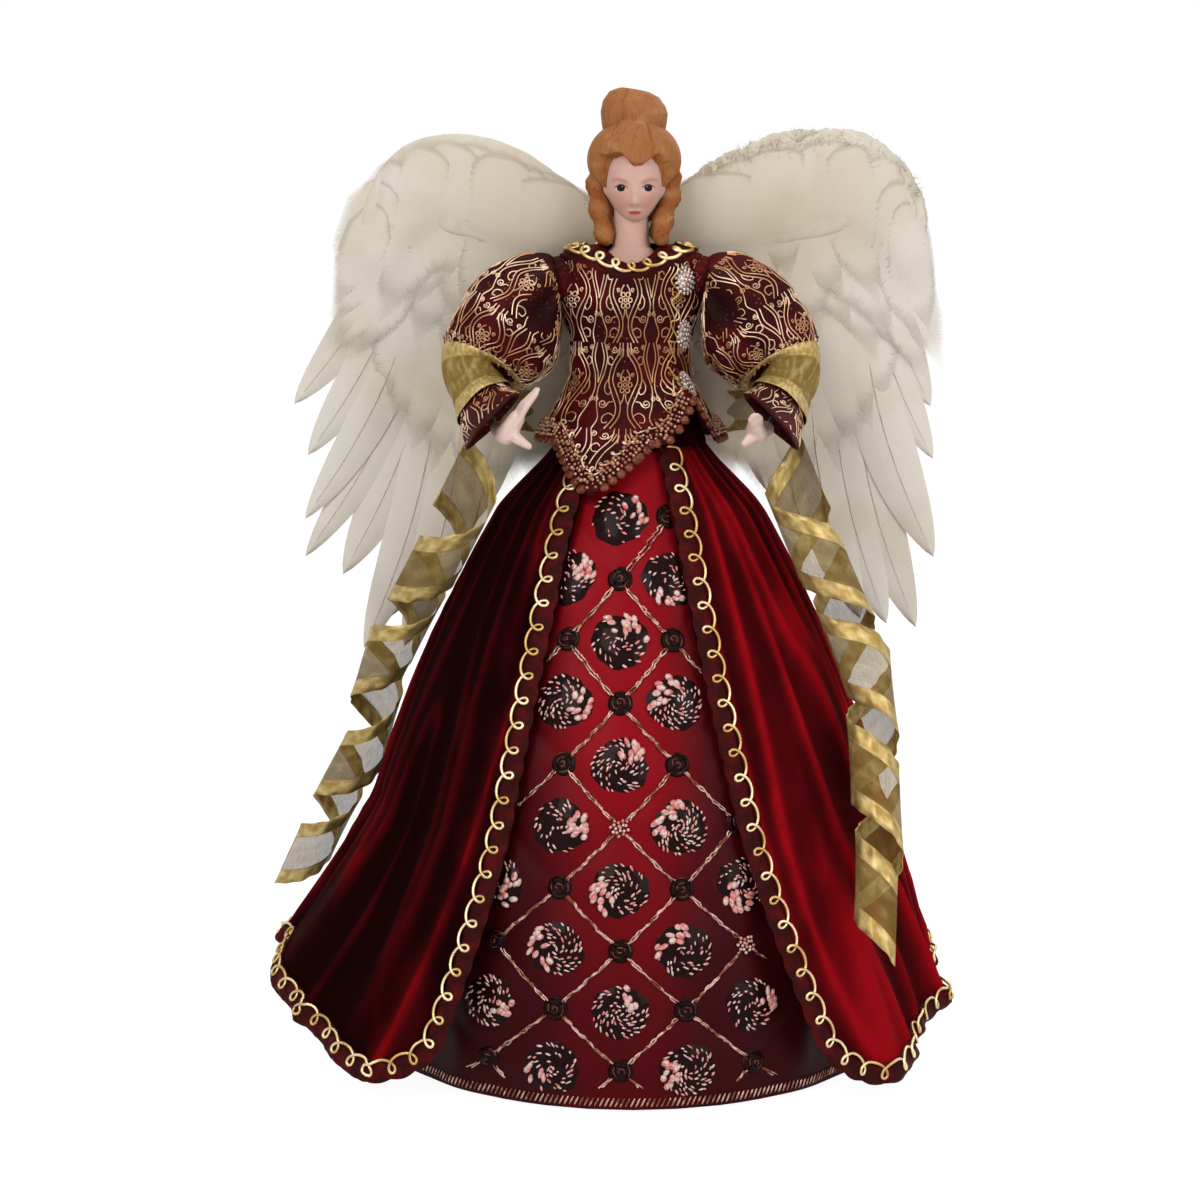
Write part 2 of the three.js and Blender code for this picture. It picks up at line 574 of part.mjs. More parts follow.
// A hanging curl whose middle line winds about a plumb line
function ringlet(side) {
  const top = HAIR_Z;
  const foot = bodice(Math.PI / 2, 0).z + CLOTH + RINGLET_R * 0.9;
  const steps = RINGLET_TURNS * 6;
  const line = new THREE.CatmullRomCurve3(range(steps).map((share) => {
    const turn = share * RINGLET_TURNS * 2 * Math.PI;
    const x = HEAD_X + side * (HEAD_HALF_WIDTH + 0.85 * RINGLET_R);
    return point(x, HEAD_Y - 1, lerp(top, foot, share))
      .add(point(RINGLET_SWING * Math.cos(turn), RINGLET_SWING * Math.sin(turn) * side, 0));
  }));
  return loft(ringsAlong(line, range(steps), 5, (share) => RINGLET_R * (1 - 0.45 * share ** 4)));
}

// Hair moulded over the head: a cap swept up from the face, a bun and a curl at each side
function makeHair() {
  const cap = ellipsoid([HEAD_X, 2, HAIR_Z], [HAIR_HALF_WIDTH, HAIR_HALF_DEPTH, HAIR_HALF_HEIGHT], 18, 11);
  const nape = ellipsoid([HEAD_X, 7, HAIR_Z - 13], [HAIR_HALF_WIDTH - 4, 11, 12], 14, 8);
  const bunHeight = FIGURE_TOP_Z - HAIR_Z - HAIR_HALF_HEIGHT / 2;
  const bunProfile = [
    [0, 1], [0.86, 1], [0.95, 0.77], [1, 0.46], [0.95, 0.23], [0.72, 0.06], [0.4, 0.01], [0, 0],
  ];
  const bun = lathe(bunProfile.map(([out, down]) => [out * BUN_HALF_WIDTH, -down * bunHeight]), 16)
    .scale(1, 0.88, 1).translate(HEAD_X, 3, FIGURE_TOP_Z);
  const face = ellipsoid([HEAD_X, -19, CHIN_Z + 11], [11.5, 14, 14], 14, 9);
  const neck = rod(NECK_R + CLEAR, point(0, 0, CHIN_Z - 15), point(0, 0, CHIN_Z + 8), 20);
  const curls = Object.values(SIDES).map(ringlet);
  const head = headSolid(2.5 * CLEAR, 18, [0.004, 0.1, 0.25, 0.4, 0.55, 0.7, 0.83, 0.93, 0.996]);
  piece('hair', combine(cap, [nape, bun, ...curls], [head, face, neck]), 'hair');
}

// Arms

// Makes an arm with its sleeves, and returns the middle of the ribbon wrap
function makeArm(name, side) {
  const at = ([x, y, z]) => point(side * x, y, z);
  const pinEnd = CHEST[0] - ARM_PIN;
  const outer = SHOULDER[0] + CLOTH + 2 * CLEAR;
  const pin = (x) => at([x, 0, SHOULDER_JOINT_Z]);
  const between = (from, to, shares) => at(shares.map((share, i) => lerp(from[i], to[i], share)));
  const line = new THREE.CatmullRomCurve3([
    pin(pinEnd), pin(lerp(pinEnd, outer, 0.5)), pin(outer),
    between([outer, 0, SHOULDER_JOINT_Z], ELBOW, [0.55, 0.4, 0.42]), at(ELBOW),
    between(ELBOW, WRIST, [0.45, 0.55, 0.6]), at(WRIST),
  ], false, 'centripetal');
  piece(`${name}_arm_wire`, tube(line, WIRE_R, 8, 15), 'wire');

  const length = line.getLength();
  const start = (outer - pinEnd) / length;
  const hollow = (from, to, steps, outside, wall, slant) => {
    const shares = range(steps, from, to);
    const inside = (share, angle) => Math.max(WIRE_R + CLEAR, outside(share, angle) - wall);
    const face = ringsAlong(line, shares, 14, outside, slant);
    return loft([...face, ...ringsAlong(line, shares.reverse(), 14, inside, slant)], true);
  };
  const along = (share, from, to) => (share - from) / (to - from);
  const puff = (share, angle) => {
    const swell = Math.sin(Math.PI * Math.min(1, 0.06 + 0.94 * along(share, start, ELBOW_SHARE))) ** 0.62;
    return lerp(PUFF_CUFF_R, PUFF_R, swell) - PUFF_PLEAT_DEPTH * wave(PUFF_PLEATS * angle) * swell;
  };
  const bodySide = new THREE.BoxGeometry(2 * outer, 4 * PUFF_R, 4 * PUFF_R).translate(0, 0, SHOULDER_JOINT_Z);
  const puffed = hollow(start, ELBOW_SHARE, 7, puff, CLOTH);
  piece(`${name}_puff_sleeve`, combine(puffed, [], [bodySide]), 'brocade');
  const sleeveFrom = ELBOW_SHARE + 1.5 * CLEAR / length;
  const opened = (share) => Math.max(0, along(share, sleeveFrom, CUFF_SHARE)) ** 1.5;
  const lower = (share) => lerp(LOWER_SLEEVE_R, CUFF_R, opened(share));
  const mouth = at(CUFF_MOUTH);
  const slant = (share, offset, tangent) => -opened(share) * offset.dot(mouth) / tangent.dot(mouth);
  piece(`${name}_lower_sleeve`, hollow(sleeveFrom, CUFF_SHARE, 5, lower, CLOTH, slant), 'brocade');
  const [wrapFrom, wrapTo] = WRAP_SPAN.map((share) => lerp(sleeveFrom, CUFF_SHARE, share));
  const wrap = (share) => Math.max(
    lower(share) + 1.5 * CLEAR + RIBBON, lerp(RIBBON_WRAP_R, LOWER_SLEEVE_R, along(share, wrapFrom, wrapTo)));
  piece(`${name}_ribbon_wrap`, hollow(wrapFrom, wrapTo, 4, wrap, RIBBON, slant), 'ribbon');
  makeHand(name, side, at(WRIST));
  return line.getPointAt(lerp(wrapFrom, wrapTo, 0.5));
}

// A small cast hand: the fingers held together, the thumb apart
function makeHand(name, side, wrist) {
  const from = (start, x, y, z) => start.clone().add(point(side * x, y, z));
  const palm = from(wrist, -4, -7, 0.5);
  const ball = ellipsoid(palm.toArray(), PALM, 10, 7);
  const limb = (tip, radius) => {
    const line = new THREE.LineCurve3(palm, tip);
    return loft(ringsAlong(line, [0, 0.5, 0.85, 1], 6, (share) => radius * Math.sqrt(1.02 - share ** 4)));
  };
  const fingers = limb(from(palm, ...FINGERS[name]), FINGERS_R);
  const thumb = limb(from(palm, ...THUMB[name]), THUMB_R);
  const arm = limb(from(wrist, 0.4, 1.5, 0.4), FOREARM_R);
  const socketR = WIRE_R + CLEAR + 0.5;
  const socket = ellipsoid(wrist.toArray(), [socketR, socketR + 0.4, socketR], 8, 6);
  piece(`${name}_hand`, combine(ball, [fingers, thumb, arm], [socket]), 'resin');
}

// Wings

const bodiceBack = bodice(Math.PI, lerp(SHOULDER_SHARE, 1, 0.3)).y + CLOTH;
const plateBack = bodiceBack + 2 * CLEAR + PLATE.thick;
const hingeY = plateBack + HINGE_TUBE_R - 0.6;

// Card plate behind the shoulders, with a tube for the root of each wing wire
function makeWingPlate() {
  const x = PLATE.width / 2 - PLATE.corner;
  const top = PLATE.height - PLATE.corner;
  const quarter = Math.PI / 2;
  const outline = new THREE.Shape();
  outline.absarc(x, PLATE.corner, PLATE.corner, -quarter, 0);
  outline.absarc(x, top, PLATE.corner, 0, quarter);
  outline.absarc(-x, top, PLATE.corner, quarter, 2 * quarter);
  outline.absarc(-x, PLATE.corner, PLATE.corner, 2 * quarter, 3 * quarter);
  const options = { depth: PLATE.thick, bevelEnabled: false, curveSegments: 4 };
  const plate = new THREE.ExtrudeGeometry(outline, options);
  plate.rotateX(Math.PI / 2).translate(0, plateBack, PLATE.foot);
  const tubes = [];
  const bores = [];
  for (const side of Object.values(SIDES)) {
    const up = (z) => point(side * HINGE_X, hingeY, PLATE.foot + z);
    tubes.push(rod(HINGE_TUBE_R, ...HINGE_TUBE_SPAN.map(up)));
    bores.push(rod(WIRE_R + CLEAR, up(-1), up(PLATE.height + 1)));
  }
  piece('wing_plate', combine(plate, tubes, bores), 'card');
}

// A feather blade: a thin lens that swells and tapers along a slightly bowed quill, in the plane of the wing
function featherBlade([rootX, rootZ, lean, length, width], side, y, shares) {
  const angle = degToRad(lean);
  const along = point(side * Math.sin(angle), 0, -Math.cos(angle));
  const across = point(side * Math.cos(angle), 0, Math.sin(angle));
  return loft(shares.map((share) => {
    const middle = point(side * rootX, y, rootZ).addScaledVector(along, share * length);
    middle.addScaledVector(across, -QUILL_BOW * length * Math.sin(Math.PI * share));
    const half = width / 2 * Math.min(1, 0.12 + 2.6 * share) * (1 - share ** 5) ** 0.75;
    const thick = BLADE / 2 * (1.1 - share);
    return [
      middle.clone().addScaledVector(across, -half), middle.clone().add(point(0, -thick, 0)),
      middle.clone().addScaledVector(across, half), middle.clone().add(point(0, thick, 0)),
    ];
  }));
}

function makeWing(name, side) {
  const wing = new THREE.Group();
  wing.position.set(side * HINGE_X, hingeY, 0);
  wing.rotation.z = side * degToRad(WING_SWEEP);
  figure.add(wing);
  const root = PLATE.foot;
  const feathers = FLIGHT_FEATHERS[name];
  const reach = feathers[0][0] * 1.07;
  const place = ([x, z]) => [reach * x, root + WING_RISE * z];

  // Up through the hinge tube, then out along the top edge of the wing
  const tubed = [-WIRE_R, HINGE_TUBE_SPAN[1] / 2, HINGE_TUBE_SPAN[1]].map((z) => [0, root + z]);
  const spar = [...tubed, ...WING_SPAR.map(place)].map(([x, z]) => point(side * x, 0, z));
  const line = new THREE.CatmullRomCurve3(spar, false, 'centripetal');
  piece(`${name}_wing_wire`, tube(line, WIRE_R, 8, 18), 'wire', wing);

  const padFront = -WIRE_R - CLEAR - PAD;
  const outline = new THREE.Shape();
  const edge = (shares) => shares.map(place).map(([x, z]) => new THREE.Vector2(side * x, z));
  outline.moveTo(...edge(PAD_TOP)[0].toArray());
  outline.splineThru(edge(PAD_TOP).slice(1));
  outline.splineThru(edge(PAD_FOOT));
  outline.closePath();
  const pad = new THREE.ExtrudeGeometry(outline, { depth: PAD, bevelEnabled: false, curveSegments: 5 });
  piece(`${name}_wing_pad`, outward(pad.rotateX(Math.PI / 2).translate(0, padFront + PAD, 0)), 'card', wing);

  // Flight feathers take turns in three layers, so that neighbours overlap as shingles do
  const layerY = (layer) => padFront - CLEAR - BLADE / 2 - layer * LAYER;
  feathers.forEach(([x, z, ...shape], i) => {
    const blade = featherBlade([x, root + z, ...shape], side, layerY(i % 3), FLIGHT_ROWS);
    piece(`${name}_flight_feather_${i + 1}`, blade, 'feather', wing);
  });

  const coverts = range(COVERTS.count - 1).map((share) => {
    const from = place([lerp(0.94, 0.23, share), 0.87 - 0.33 * share ** 2]);
    const shape = [lerp(...COVERTS.lean, share), lerp(...COVERTS.lengths, share), COVERTS.width];
    return featherBlade([...from, ...shape], side, layerY(3), COVERT_ROWS);
  });
  piece(`${name}_wing_coverts`, combine(coverts[0], coverts.slice(1)), 'feather', wing);

  // Roll of down along the top of the wing
  const downY = layerY(3) - BLADE / 2 - CLEAR - DOWN_HALF_THICK;
  const crest = DOWN_CREST.map(place).map(([x, z]) => point(side * x, downY, z));
  const roll = new THREE.CatmullRomCurve3(crest);
  const half = (share) => lerp(...DOWN_HALF_WIDTH, Math.sin(Math.PI * (0.14 + 0.8 * share)) ** 1.2);
  const rings = range(12).map((share) => {
    const tangent = roll.getTangentAt(share);
    const across = point(-tangent.z, 0, tangent.x);
    return round(10).map((angle) => roll.getPointAt(share)
      .addScaledVector(across, half(share) * Math.cos(angle))
      .add(point(0, DOWN_HALF_THICK * Math.sin(angle), 0)));
  });
  piece(`${name}_wing_down`, loft(rings), 'feather', wing);
}

// Ribbon stole

// A curled tail: the ribbon winds as a helix beside the skirt and keeps clear of it all the way down
function makeRibbonTail(name, side, wrap) {
  const azimuth = (share) => degToRad(lerp(...CURL_AT[name], share));
  const topZ = wrap.z - CURL_DROP[name];
  const footZ = CURL_FOOT_Z[name];
  const tilt = Math.atan2(topZ - footZ, CURL_TURNS * 2 * Math.PI * CURL_R);
  const half = RIBBON_WIDTH / 2 / Math.cos(tilt);
  const curlR = (share) => lerp(CURL_R, CURL_END_R, share);
  const beside = (share) => {
    const z = lerp(topZ, footZ, share);
    const skirt = overskirtRadius(azimuth(share), z - half) + OVERSKIRT_FOLD_DEPTH * share + VELVET;
    return polar(azimuth(share), skirt + curlR(share) + 2 * CLEAR, z);
  };
  const top = point(wrap.x + side * CURL_OFFSET, wrap.y - 1, topZ);
  const low = range(5, 0.45, 1).map(beside);
  const middle = new THREE.CatmullRomCurve3([top, top.clone().lerp(low[0], 0.4), ...low]);
  const strip = (share, across) => {
    const place = Math.min(1, Math.max(0, share));
    const tangent = middle.getTangentAt(place);
    const outwardly = polar(azimuth(place), 1, 0).projectOnPlane(tangent).normalize();
    const sideways = tangent.clone().cross(outwardly);
    const turn = share * CURL_TURNS * 2 * Math.PI;
    return middle.getPointAt(place).addScaledVector(tangent, across)
      .addScaledVector(outwardly, curlR(place) * Math.cos(turn))
      .addScaledVector(sideways, -side * curlR(place) * Math.sin(turn));
  };
  const steps = range(CURL_TURNS * CURL_STEPS);
  piece(`${name}_ribbon_tail`, clothSolid(strip, steps, [-half, half], -RIBBON / 2, RIBBON / 2), 'ribbon');
  console.log(`${name} ribbon tail: least gap between turns ${turnGap(strip, steps, half).toFixed(1)} mm`);
}

// Least distance between points of the lower edge of one turn and the upper edge of the next
function turnGap(strip, steps, half) {
  let least = Infinity;
  const upper = steps.map((share) => strip(share, -half));
  steps.forEach((share, i) => {
    const below = strip(share, half);
    upper.slice(i + CURL_STEPS / 2).forEach((p) => { least = Math.min(least, p.distanceTo(below)); });
  });
  return least - RIBBON;
}

// The stole's two halves behind the back, from the arm to the middle
function makeRibbonSwag(name, side, wrap) {
  const back = bodice(Math.PI, 1).y + CLOTH + BRAID + 4 * CLEAR;
  const z = PEPLUM_TOP_Z - PEPLUM_LENGTH + 4;
  const line = new THREE.CatmullRomCurve3([
    point(wrap.x, wrap.y + RIBBON_WRAP_R + 5 * CLEAR, z + 5), point(side * 46, 20, z + 6),
    point(side * 24, back - 3, z + 2), point(side * CLEAR, back, z),
  ]);
  const half = (share) => lerp(SWAG_HALF_WIDTH[0], SWAG_HALF_WIDTH[1], smoothstep(share, 0.4, 1));
  const strip = (share, across) => {
    const place = Math.min(1, Math.max(0, share));
    return line.getPointAt(place).add(point(0, 0, half(place) * across));
  };
  piece(`${name}_ribbon_swag`, clothSolid(strip, range(10), [-1, 0, 1], -RIBBON / 2, RIBBON / 2), 'ribbon');
}

makeCone();
makeBodyForm();
makeDowel();
makeSkirts();
makeOverskirtBraid();
makeBodice();
makeButtons();
makeHead();
makeHair();
makeWingPlate();
for (const [name, side] of Object.entries(SIDES)) {
  const wrap = makeArm(name, side);
  makeRibbonTail(name, side, wrap);
  makeRibbonSwag(name, side, wrap);
  makeWing(name, side);
}

const bounds = new THREE.Box3().setFromObject(figure, true);
const middle = bounds.getCenter(point());
figure.position.set(-middle.x, -middle.y, -bounds.min.z);

const angel = new THREE.Group();
angel.add(figure);
export default angel;
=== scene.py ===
"""Angel tree topper: cloth, trims, beads, hair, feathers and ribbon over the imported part, and a studio.

Numbers inside the functions are millimetres about the figure's upright axis. The figure faces -Y.
"""

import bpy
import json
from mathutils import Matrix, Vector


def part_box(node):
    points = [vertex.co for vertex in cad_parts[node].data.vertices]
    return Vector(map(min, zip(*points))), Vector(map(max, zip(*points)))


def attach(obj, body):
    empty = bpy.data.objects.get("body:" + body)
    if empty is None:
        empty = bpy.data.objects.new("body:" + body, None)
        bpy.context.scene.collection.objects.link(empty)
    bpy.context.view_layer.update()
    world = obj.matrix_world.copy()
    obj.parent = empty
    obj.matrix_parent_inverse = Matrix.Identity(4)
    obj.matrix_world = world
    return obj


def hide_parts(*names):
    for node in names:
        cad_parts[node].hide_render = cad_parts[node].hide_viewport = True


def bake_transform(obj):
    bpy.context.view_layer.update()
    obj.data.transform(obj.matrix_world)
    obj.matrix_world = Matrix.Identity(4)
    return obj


bl_info = {
    "name": "Angel tree topper",
    "version": (1, 0, 0),
    "blender": (4, 5, 0),
    "location": "View3D > Sidebar > Angel",
    "description": "Dresses an angel tree topper in cloth, trims, beads, hair, feathers and ribbon",
    "category": "Add Mesh",
}

import json
import math
import random
from bisect import bisect_right

import bmesh
import bpy
from bpy.props import FloatProperty, FloatVectorProperty, IntProperty, PointerProperty
from mathutils import Matrix, Vector, noise

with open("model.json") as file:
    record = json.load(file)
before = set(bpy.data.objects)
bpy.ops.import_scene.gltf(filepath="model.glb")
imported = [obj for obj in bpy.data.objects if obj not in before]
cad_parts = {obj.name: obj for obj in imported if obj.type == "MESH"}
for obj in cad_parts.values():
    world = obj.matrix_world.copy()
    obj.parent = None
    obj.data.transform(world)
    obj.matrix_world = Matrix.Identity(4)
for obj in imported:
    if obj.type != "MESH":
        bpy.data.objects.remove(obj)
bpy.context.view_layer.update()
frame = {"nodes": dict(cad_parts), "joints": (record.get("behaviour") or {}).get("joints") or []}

MM = 0.001
SIDES = {"left": -1, "right": 1}
JOINTS = {joint["name"]: joint for joint in frame["joints"]}
AXIS = sum(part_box("neck_dowel"), Vector()) / 2


# Small maths

def at(x, y, z):
    """A place in the row frame, in metres, from millimetres about the figure's axis."""
    return Vector((AXIS.x + x * MM, AXIS.y + y * MM, z * MM))


def polar(angle, radius, z):
    return at(radius * math.sin(angle), -radius * math.cos(angle), z)


def lerp(a, b, share):
    return a + (b - a) * share


def clamp(x, low=0.0, high=1.0):
    return min(high, max(low, x))


def smooth(x, low, high):
    t = clamp((x - low) / (high - low))
    return t * t * (3 - 2 * t)


def hump(x, middle, width):
    return math.exp(-(((x - middle) / width) ** 2))


def wave(x):
    return 0.5 - 0.5 * math.cos(x)


def span_at(lengths, want):
    """The span of a list of growing lengths that holds one, and how far into the span it is."""
    low = min(max(bisect_right(lengths, want) - 1, 0), len(lengths) - 2)
    span = lengths[low + 1] - lengths[low]
    return low, (want - lengths[low]) / span if span else 0.0


def linear(code):
    """A colour written as six hexadecimal digits, as linear light."""
    parts = [int(code[i:i + 2], 16) / 255 for i in (0, 2, 4)]
    return tuple(p / 12.92 if p <= 0.04045 else ((p + 0.055) / 1.055) ** 2.4 for p in parts)


class Line:
    """A smooth line through points, read by the share of its length."""

    def __init__(self, points, count=200):
        ends = [2 * points[0] - points[1], *points, 2 * points[-1] - points[-2]]
        spans = len(points) - 1
        self.places = []
        for i in range(count + 1):
            span = min(int(i * spans / count), spans - 1)
            self.places.append(self.between(ends[span:span + 4], i * spans / count - span))
        self.lengths = [0.0]
        for a, b in zip(self.places, self.places[1:]):
            self.lengths.append(self.lengths[-1] + (b - a).length)
        self.length = self.lengths[-1]
        self.normals = [self.tangent(0).orthogonal().normalized()]
        for i in range(1, count + 1):
            tangent = self.tangent(self.lengths[i] / self.length)
            normal = self.normals[-1] - tangent * self.normals[-1].dot(tangent)
            self.normals.append(normal.normalized())

    @staticmethod
    def between(four, t):
        a, b, c, d = four
        first, second, third = (max((q - p).length ** 0.5, 1e-6) for p, q in ((a, b), (b, c), (c, d)))
        leave = ((b - a) / first - (c - a) / (first + second) + (c - b) / second) * second
        reach = ((c - b) / second - (d - b) / (second + third) + (d - c) / third) * second
        square, cube = t * t, t * t * t
        return (b * (2 * cube - 3 * square + 1) + leave * (cube - 2 * square + t)
                + c * (3 * square - 2 * cube) + reach * (cube - square))

    def index(self, share):
        return span_at(self.lengths, clamp(share) * self.length)

    def point(self, share):
        i, t = self.index(share)
        return self.places[i].lerp(self.places[i + 1], t)

    def tangent(self, share):
        step = 0.004
        return (self.point(share + step) - self.point(share - step)).normalized()

    def ring(self, share, angle, radius):
        """A place at that angle and radius, in millimetres, about the line."""
        i, t = self.index(share)
        tangent = self.tangent(share)
        normal = self.normals[i].lerp(self.normals[i + 1], t)
        normal = (normal - tangent * normal.dot(tangent)).normalized()
        across = normal * math.cos(angle) - tangent.cross(normal) * math.sin(angle)
        return self.point(share) + across * radius * MM


# Surfaces of the dress, each the same form as the solid that it stands for

SKIRT_TOP, HEM = 258.0, 1.5
WAIST_RADIUS, HEM_RADIUS, BELL = 28.85, 107.0, 1.9
FLARE = {"front": 20, "left": 56, "right": 16, "back": 2}
HEM_LIFT = {"front": 2.5, "left": 36, "right": 27, "back": 5}
OPENING_LEFT, OPENING_RIGHT = (27, 10, 3), (19, 17, 2)
FOLDS = 11
SHOULDER_Z, WAIST_Z = 337.5, 288
# Heights of the foam body with its half width and half depth there
BODY = [(240, 20.6, 20.6), (254, 28.5, 28.5), (297, 23, 17.5), (316, 26, 19), (331, 25.5, 16),
        (SHOULDER_Z, 27.5, 16.5)]
SHOULDER_SHARE = 0.16
PANEL_X = -4.9
ROW_FIRST, ROW_STEP = 0.105, 0.0925


def frontness(angle):
    return max(0.0, math.cos(angle)) ** 2


def by_direction(values, angle):
    turn = abs(math.atan2(math.sin(angle), math.cos(angle)))
    sideways = values["left" if math.sin(angle) < 0 else "right"]
    if turn < math.pi / 2:
        return lerp(values["front"], sideways, smooth(turn, math.pi / 5, math.pi / 2))
    return lerp(sideways, values["back"], smooth(turn, math.pi / 2, math.pi))


def underskirt_radius(z):
    share = clamp((SKIRT_TOP - z) / (SKIRT_TOP - HEM))
    return lerp(WAIST_RADIUS, HEM_RADIUS, 1 - (1 - share) ** BELL)


def panel_spacing(share):
    """How far apart the columns of the front panel's lattice stand."""
    return lerp(18, 27, share)


def underskirt(angle, share):
    share = clamp(share)
    z = lerp(SKIRT_TOP, HEM, share)
    radius = underskirt_radius(z)
    folds = 3 * wave(18 * angle) * share ** 2 * (1 - frontness(angle)) * (1 if share < 1 else 0.3)
    column = (radius * math.sin(angle) - PANEL_X) / panel_spacing(share)
    row = (share - ROW_FIRST) / ROW_STEP
    quilt = abs(math.sin(math.pi * (column + row + 1) / 2) * math.sin(math.pi * (column - row + 1) / 2))
    on_panel = smooth(math.cos(angle), 0.7, 0.8) * smooth(share, 0.05, 0.1)
    on_panel *= 1 - smooth(share, 0.95, 0.99)
    return polar(angle, radius + 0.5 - folds + 2.2 * on_panel * quilt ** 0.55, z)


def overskirt_radius(angle, z):
    share = min(1.0, (SKIRT_TOP - z) / (SKIRT_TOP - HEM))
    gather = 8.5 * smooth(share, 0, 0.12) * (1 - 0.75 * frontness(angle))
    flare = by_direction(FLARE, angle) * max(0.0, (share - 0.58) / 0.42) ** 1.3
    return underskirt_radius(z) + 2.15 + gather + flare


def opening(edge, share):
    top, spread, power = edge
    return math.radians(top + spread * max(0.0, share) ** power)


def velvet_crest(across, share):
    """Sharp crests that run down the velvet: 1 on a crest and less beside it."""
    return 1 - abs(noise.noise(Vector((across * 30, max(0.0, share) * 1.3, 3.0))))


def velvet_slack(across, share):
    return noise.noise(Vector((across * 22, max(0.0, share) * 1.3, 7.0)))


def overskirt(across, share):
    """Across runs from the right front edge round the back to the left one, and share from waist to hem."""
    angle = lerp(opening(OPENING_RIGHT, share), math.tau - opening(OPENING_LEFT, share), across)
    edge = clamp(min(across, 1 - across))
    corner = 22 * max(0.0, 1 - edge / 0.05) ** 2
    z = lerp(SKIRT_TOP, HEM + by_direction(HEM_LIFT, angle) + corner, share)
    fall = max(0.0, share)
    folds = 6 * wave(FOLDS * math.tau * across) * fall ** 1.4
    slack = velvet_slack(across, share) * 4.2 * fall ** 0.6
    ridge = velvet_crest(across, share) ** 5 * 4.6 * fall ** 0.5 - 0.8
    crease = noise.noise(Vector((across * 64, fall * 4.0, 2.0))) * 0.6 * fall
    relief = smooth(edge, 0, 0.06) * (folds + slack + ridge + crease)
    return polar(angle, overskirt_radius(angle, z) + 0.7 + relief, z)


def velvet_painted_light(across, share):
    """Painted light and shade of the folds: from 0, painted shade in the hollow of a fold, to 1, painted
    light on its crest.
    """
    folds = (wave(FOLDS * math.tau * across) - 0.5) * 0.3 * share
    return clamp(0.1 + 0.75 * velvet_crest(across, share) ** 7 + 0.4 * velvet_slack(across, share) + folds)


def body_section(z):
    for low, high in zip(BODY, BODY[1:]):
        if z <= high[0]:
            break
    share = smooth(z, low[0], high[0])
    return lerp(low[1], high[1], share), lerp(low[2], high[2], share)


def oval(section, angle):
    return 1 / math.hypot(math.sin(angle) / section[0], math.cos(angle) / section[1])


def peplum_hem(angle):
    turn = math.degrees(math.atan2(math.sin(angle), math.cos(angle)))
    point = 21 * max(0.0, 1 - abs(turn + 21) / 34) ** 1.2
    notch = 17 * max(0.0, 1 - abs(turn - 44) / 22) ** 1.2
    return 260 - point + notch


def shoulder_height(angle):
    return SHOULDER_Z - 8 * frontness(angle) - 1.5 * frontness(angle + math.pi)


def bodice(angle, share):
    dip = 8 * frontness(angle)
    shoulder_z = shoulder_height(angle)
    if share < SHOULDER_SHARE:
        out = max(0.0, share / SHOULDER_SHARE)
        section = lerp(12, 27.5, out), lerp(11.5, 16.5, out)
        return polar(angle, oval(section, angle) + 0.5, lerp(341 - dip, shoulder_z, out ** 1.6))
    hem = peplum_hem(angle)
    z = lerp(shoulder_z, hem, (share - SHOULDER_SHARE) / (1 - SHOULDER_SHARE))
    waist = oval(body_section(WAIST_Z), angle) + 0.875
    close = oval(body_section(z), angle) + 0.875
    over = overskirt_radius(angle, hem) + 4.2 + 3.5 * math.sin(angle) ** 2
    out = max(0.0, (WAIST_Z - z) / (WAIST_Z - hem)) ** 1.2
    slack = 0.5 * noise.noise(Vector((math.cos(angle) * 3, math.sin(angle) * 3, z * 0.09)))
    armhole = 2.0 * smooth(abs(math.sin(angle)), 0.8, 1) * hump(z, 321, 14)
    return polar(angle, max(close, lerp(waist, over, out)) + 0.5 + slack + armhole, z)


def bodice_share(angle, z):
    top = shoulder_height(angle)
    return lerp(SHOULDER_SHARE, 1, (top - z) / (top - peplum_hem(angle)))


def normal_of(surface, u, v):
    step = 1e-3
    across = surface(u + step, v) - surface(u - step, v)
    down = surface(u, v + step) - surface(u, v - step)
    return down.cross(across).normalized()


def raised(surface, u, v, height):
    return surface(u, v) + normal_of(surface, u, v) * height * MM


def panel_place(column, row):
    """Angle and share of a place in the front panel's lattice."""
    share = ROW_FIRST + ROW_STEP * row
    radius = underskirt_radius(lerp(SKIRT_TOP, HEM, share))
    return math.asin(clamp((PANEL_X + column * panel_spacing(share)) / radius, -1, 1)), share


# Finishes

class Value:
    """A node's output in an expression: each operator adds the node that it needs."""

    def __init__(self, shader, socket):
        self.shader, self.socket = shader, socket

    def maths(self, operation, first, second):
        return self.shader.node("ShaderNodeMath", {"operation": operation}, {0: first, 1: second})

    def __add__(self, other):
        return self.maths("ADD", self, other)

    def __sub__(self, other):
        return self.maths("SUBTRACT", self, other)

    def __rsub__(self, other):
        return self.maths("SUBTRACT", other, self)

    def __mul__(self, other):
        return self.maths("MULTIPLY", self, other)

    def __truediv__(self, other):
        return self.maths("DIVIDE", self, other)

    def __pow__(self, other):
        return self.maths("POWER", self, other)

    def __abs__(self):
        return self.maths("ABSOLUTE", self, 0.0)

    __radd__, __rmul__ = __add__, __mul__


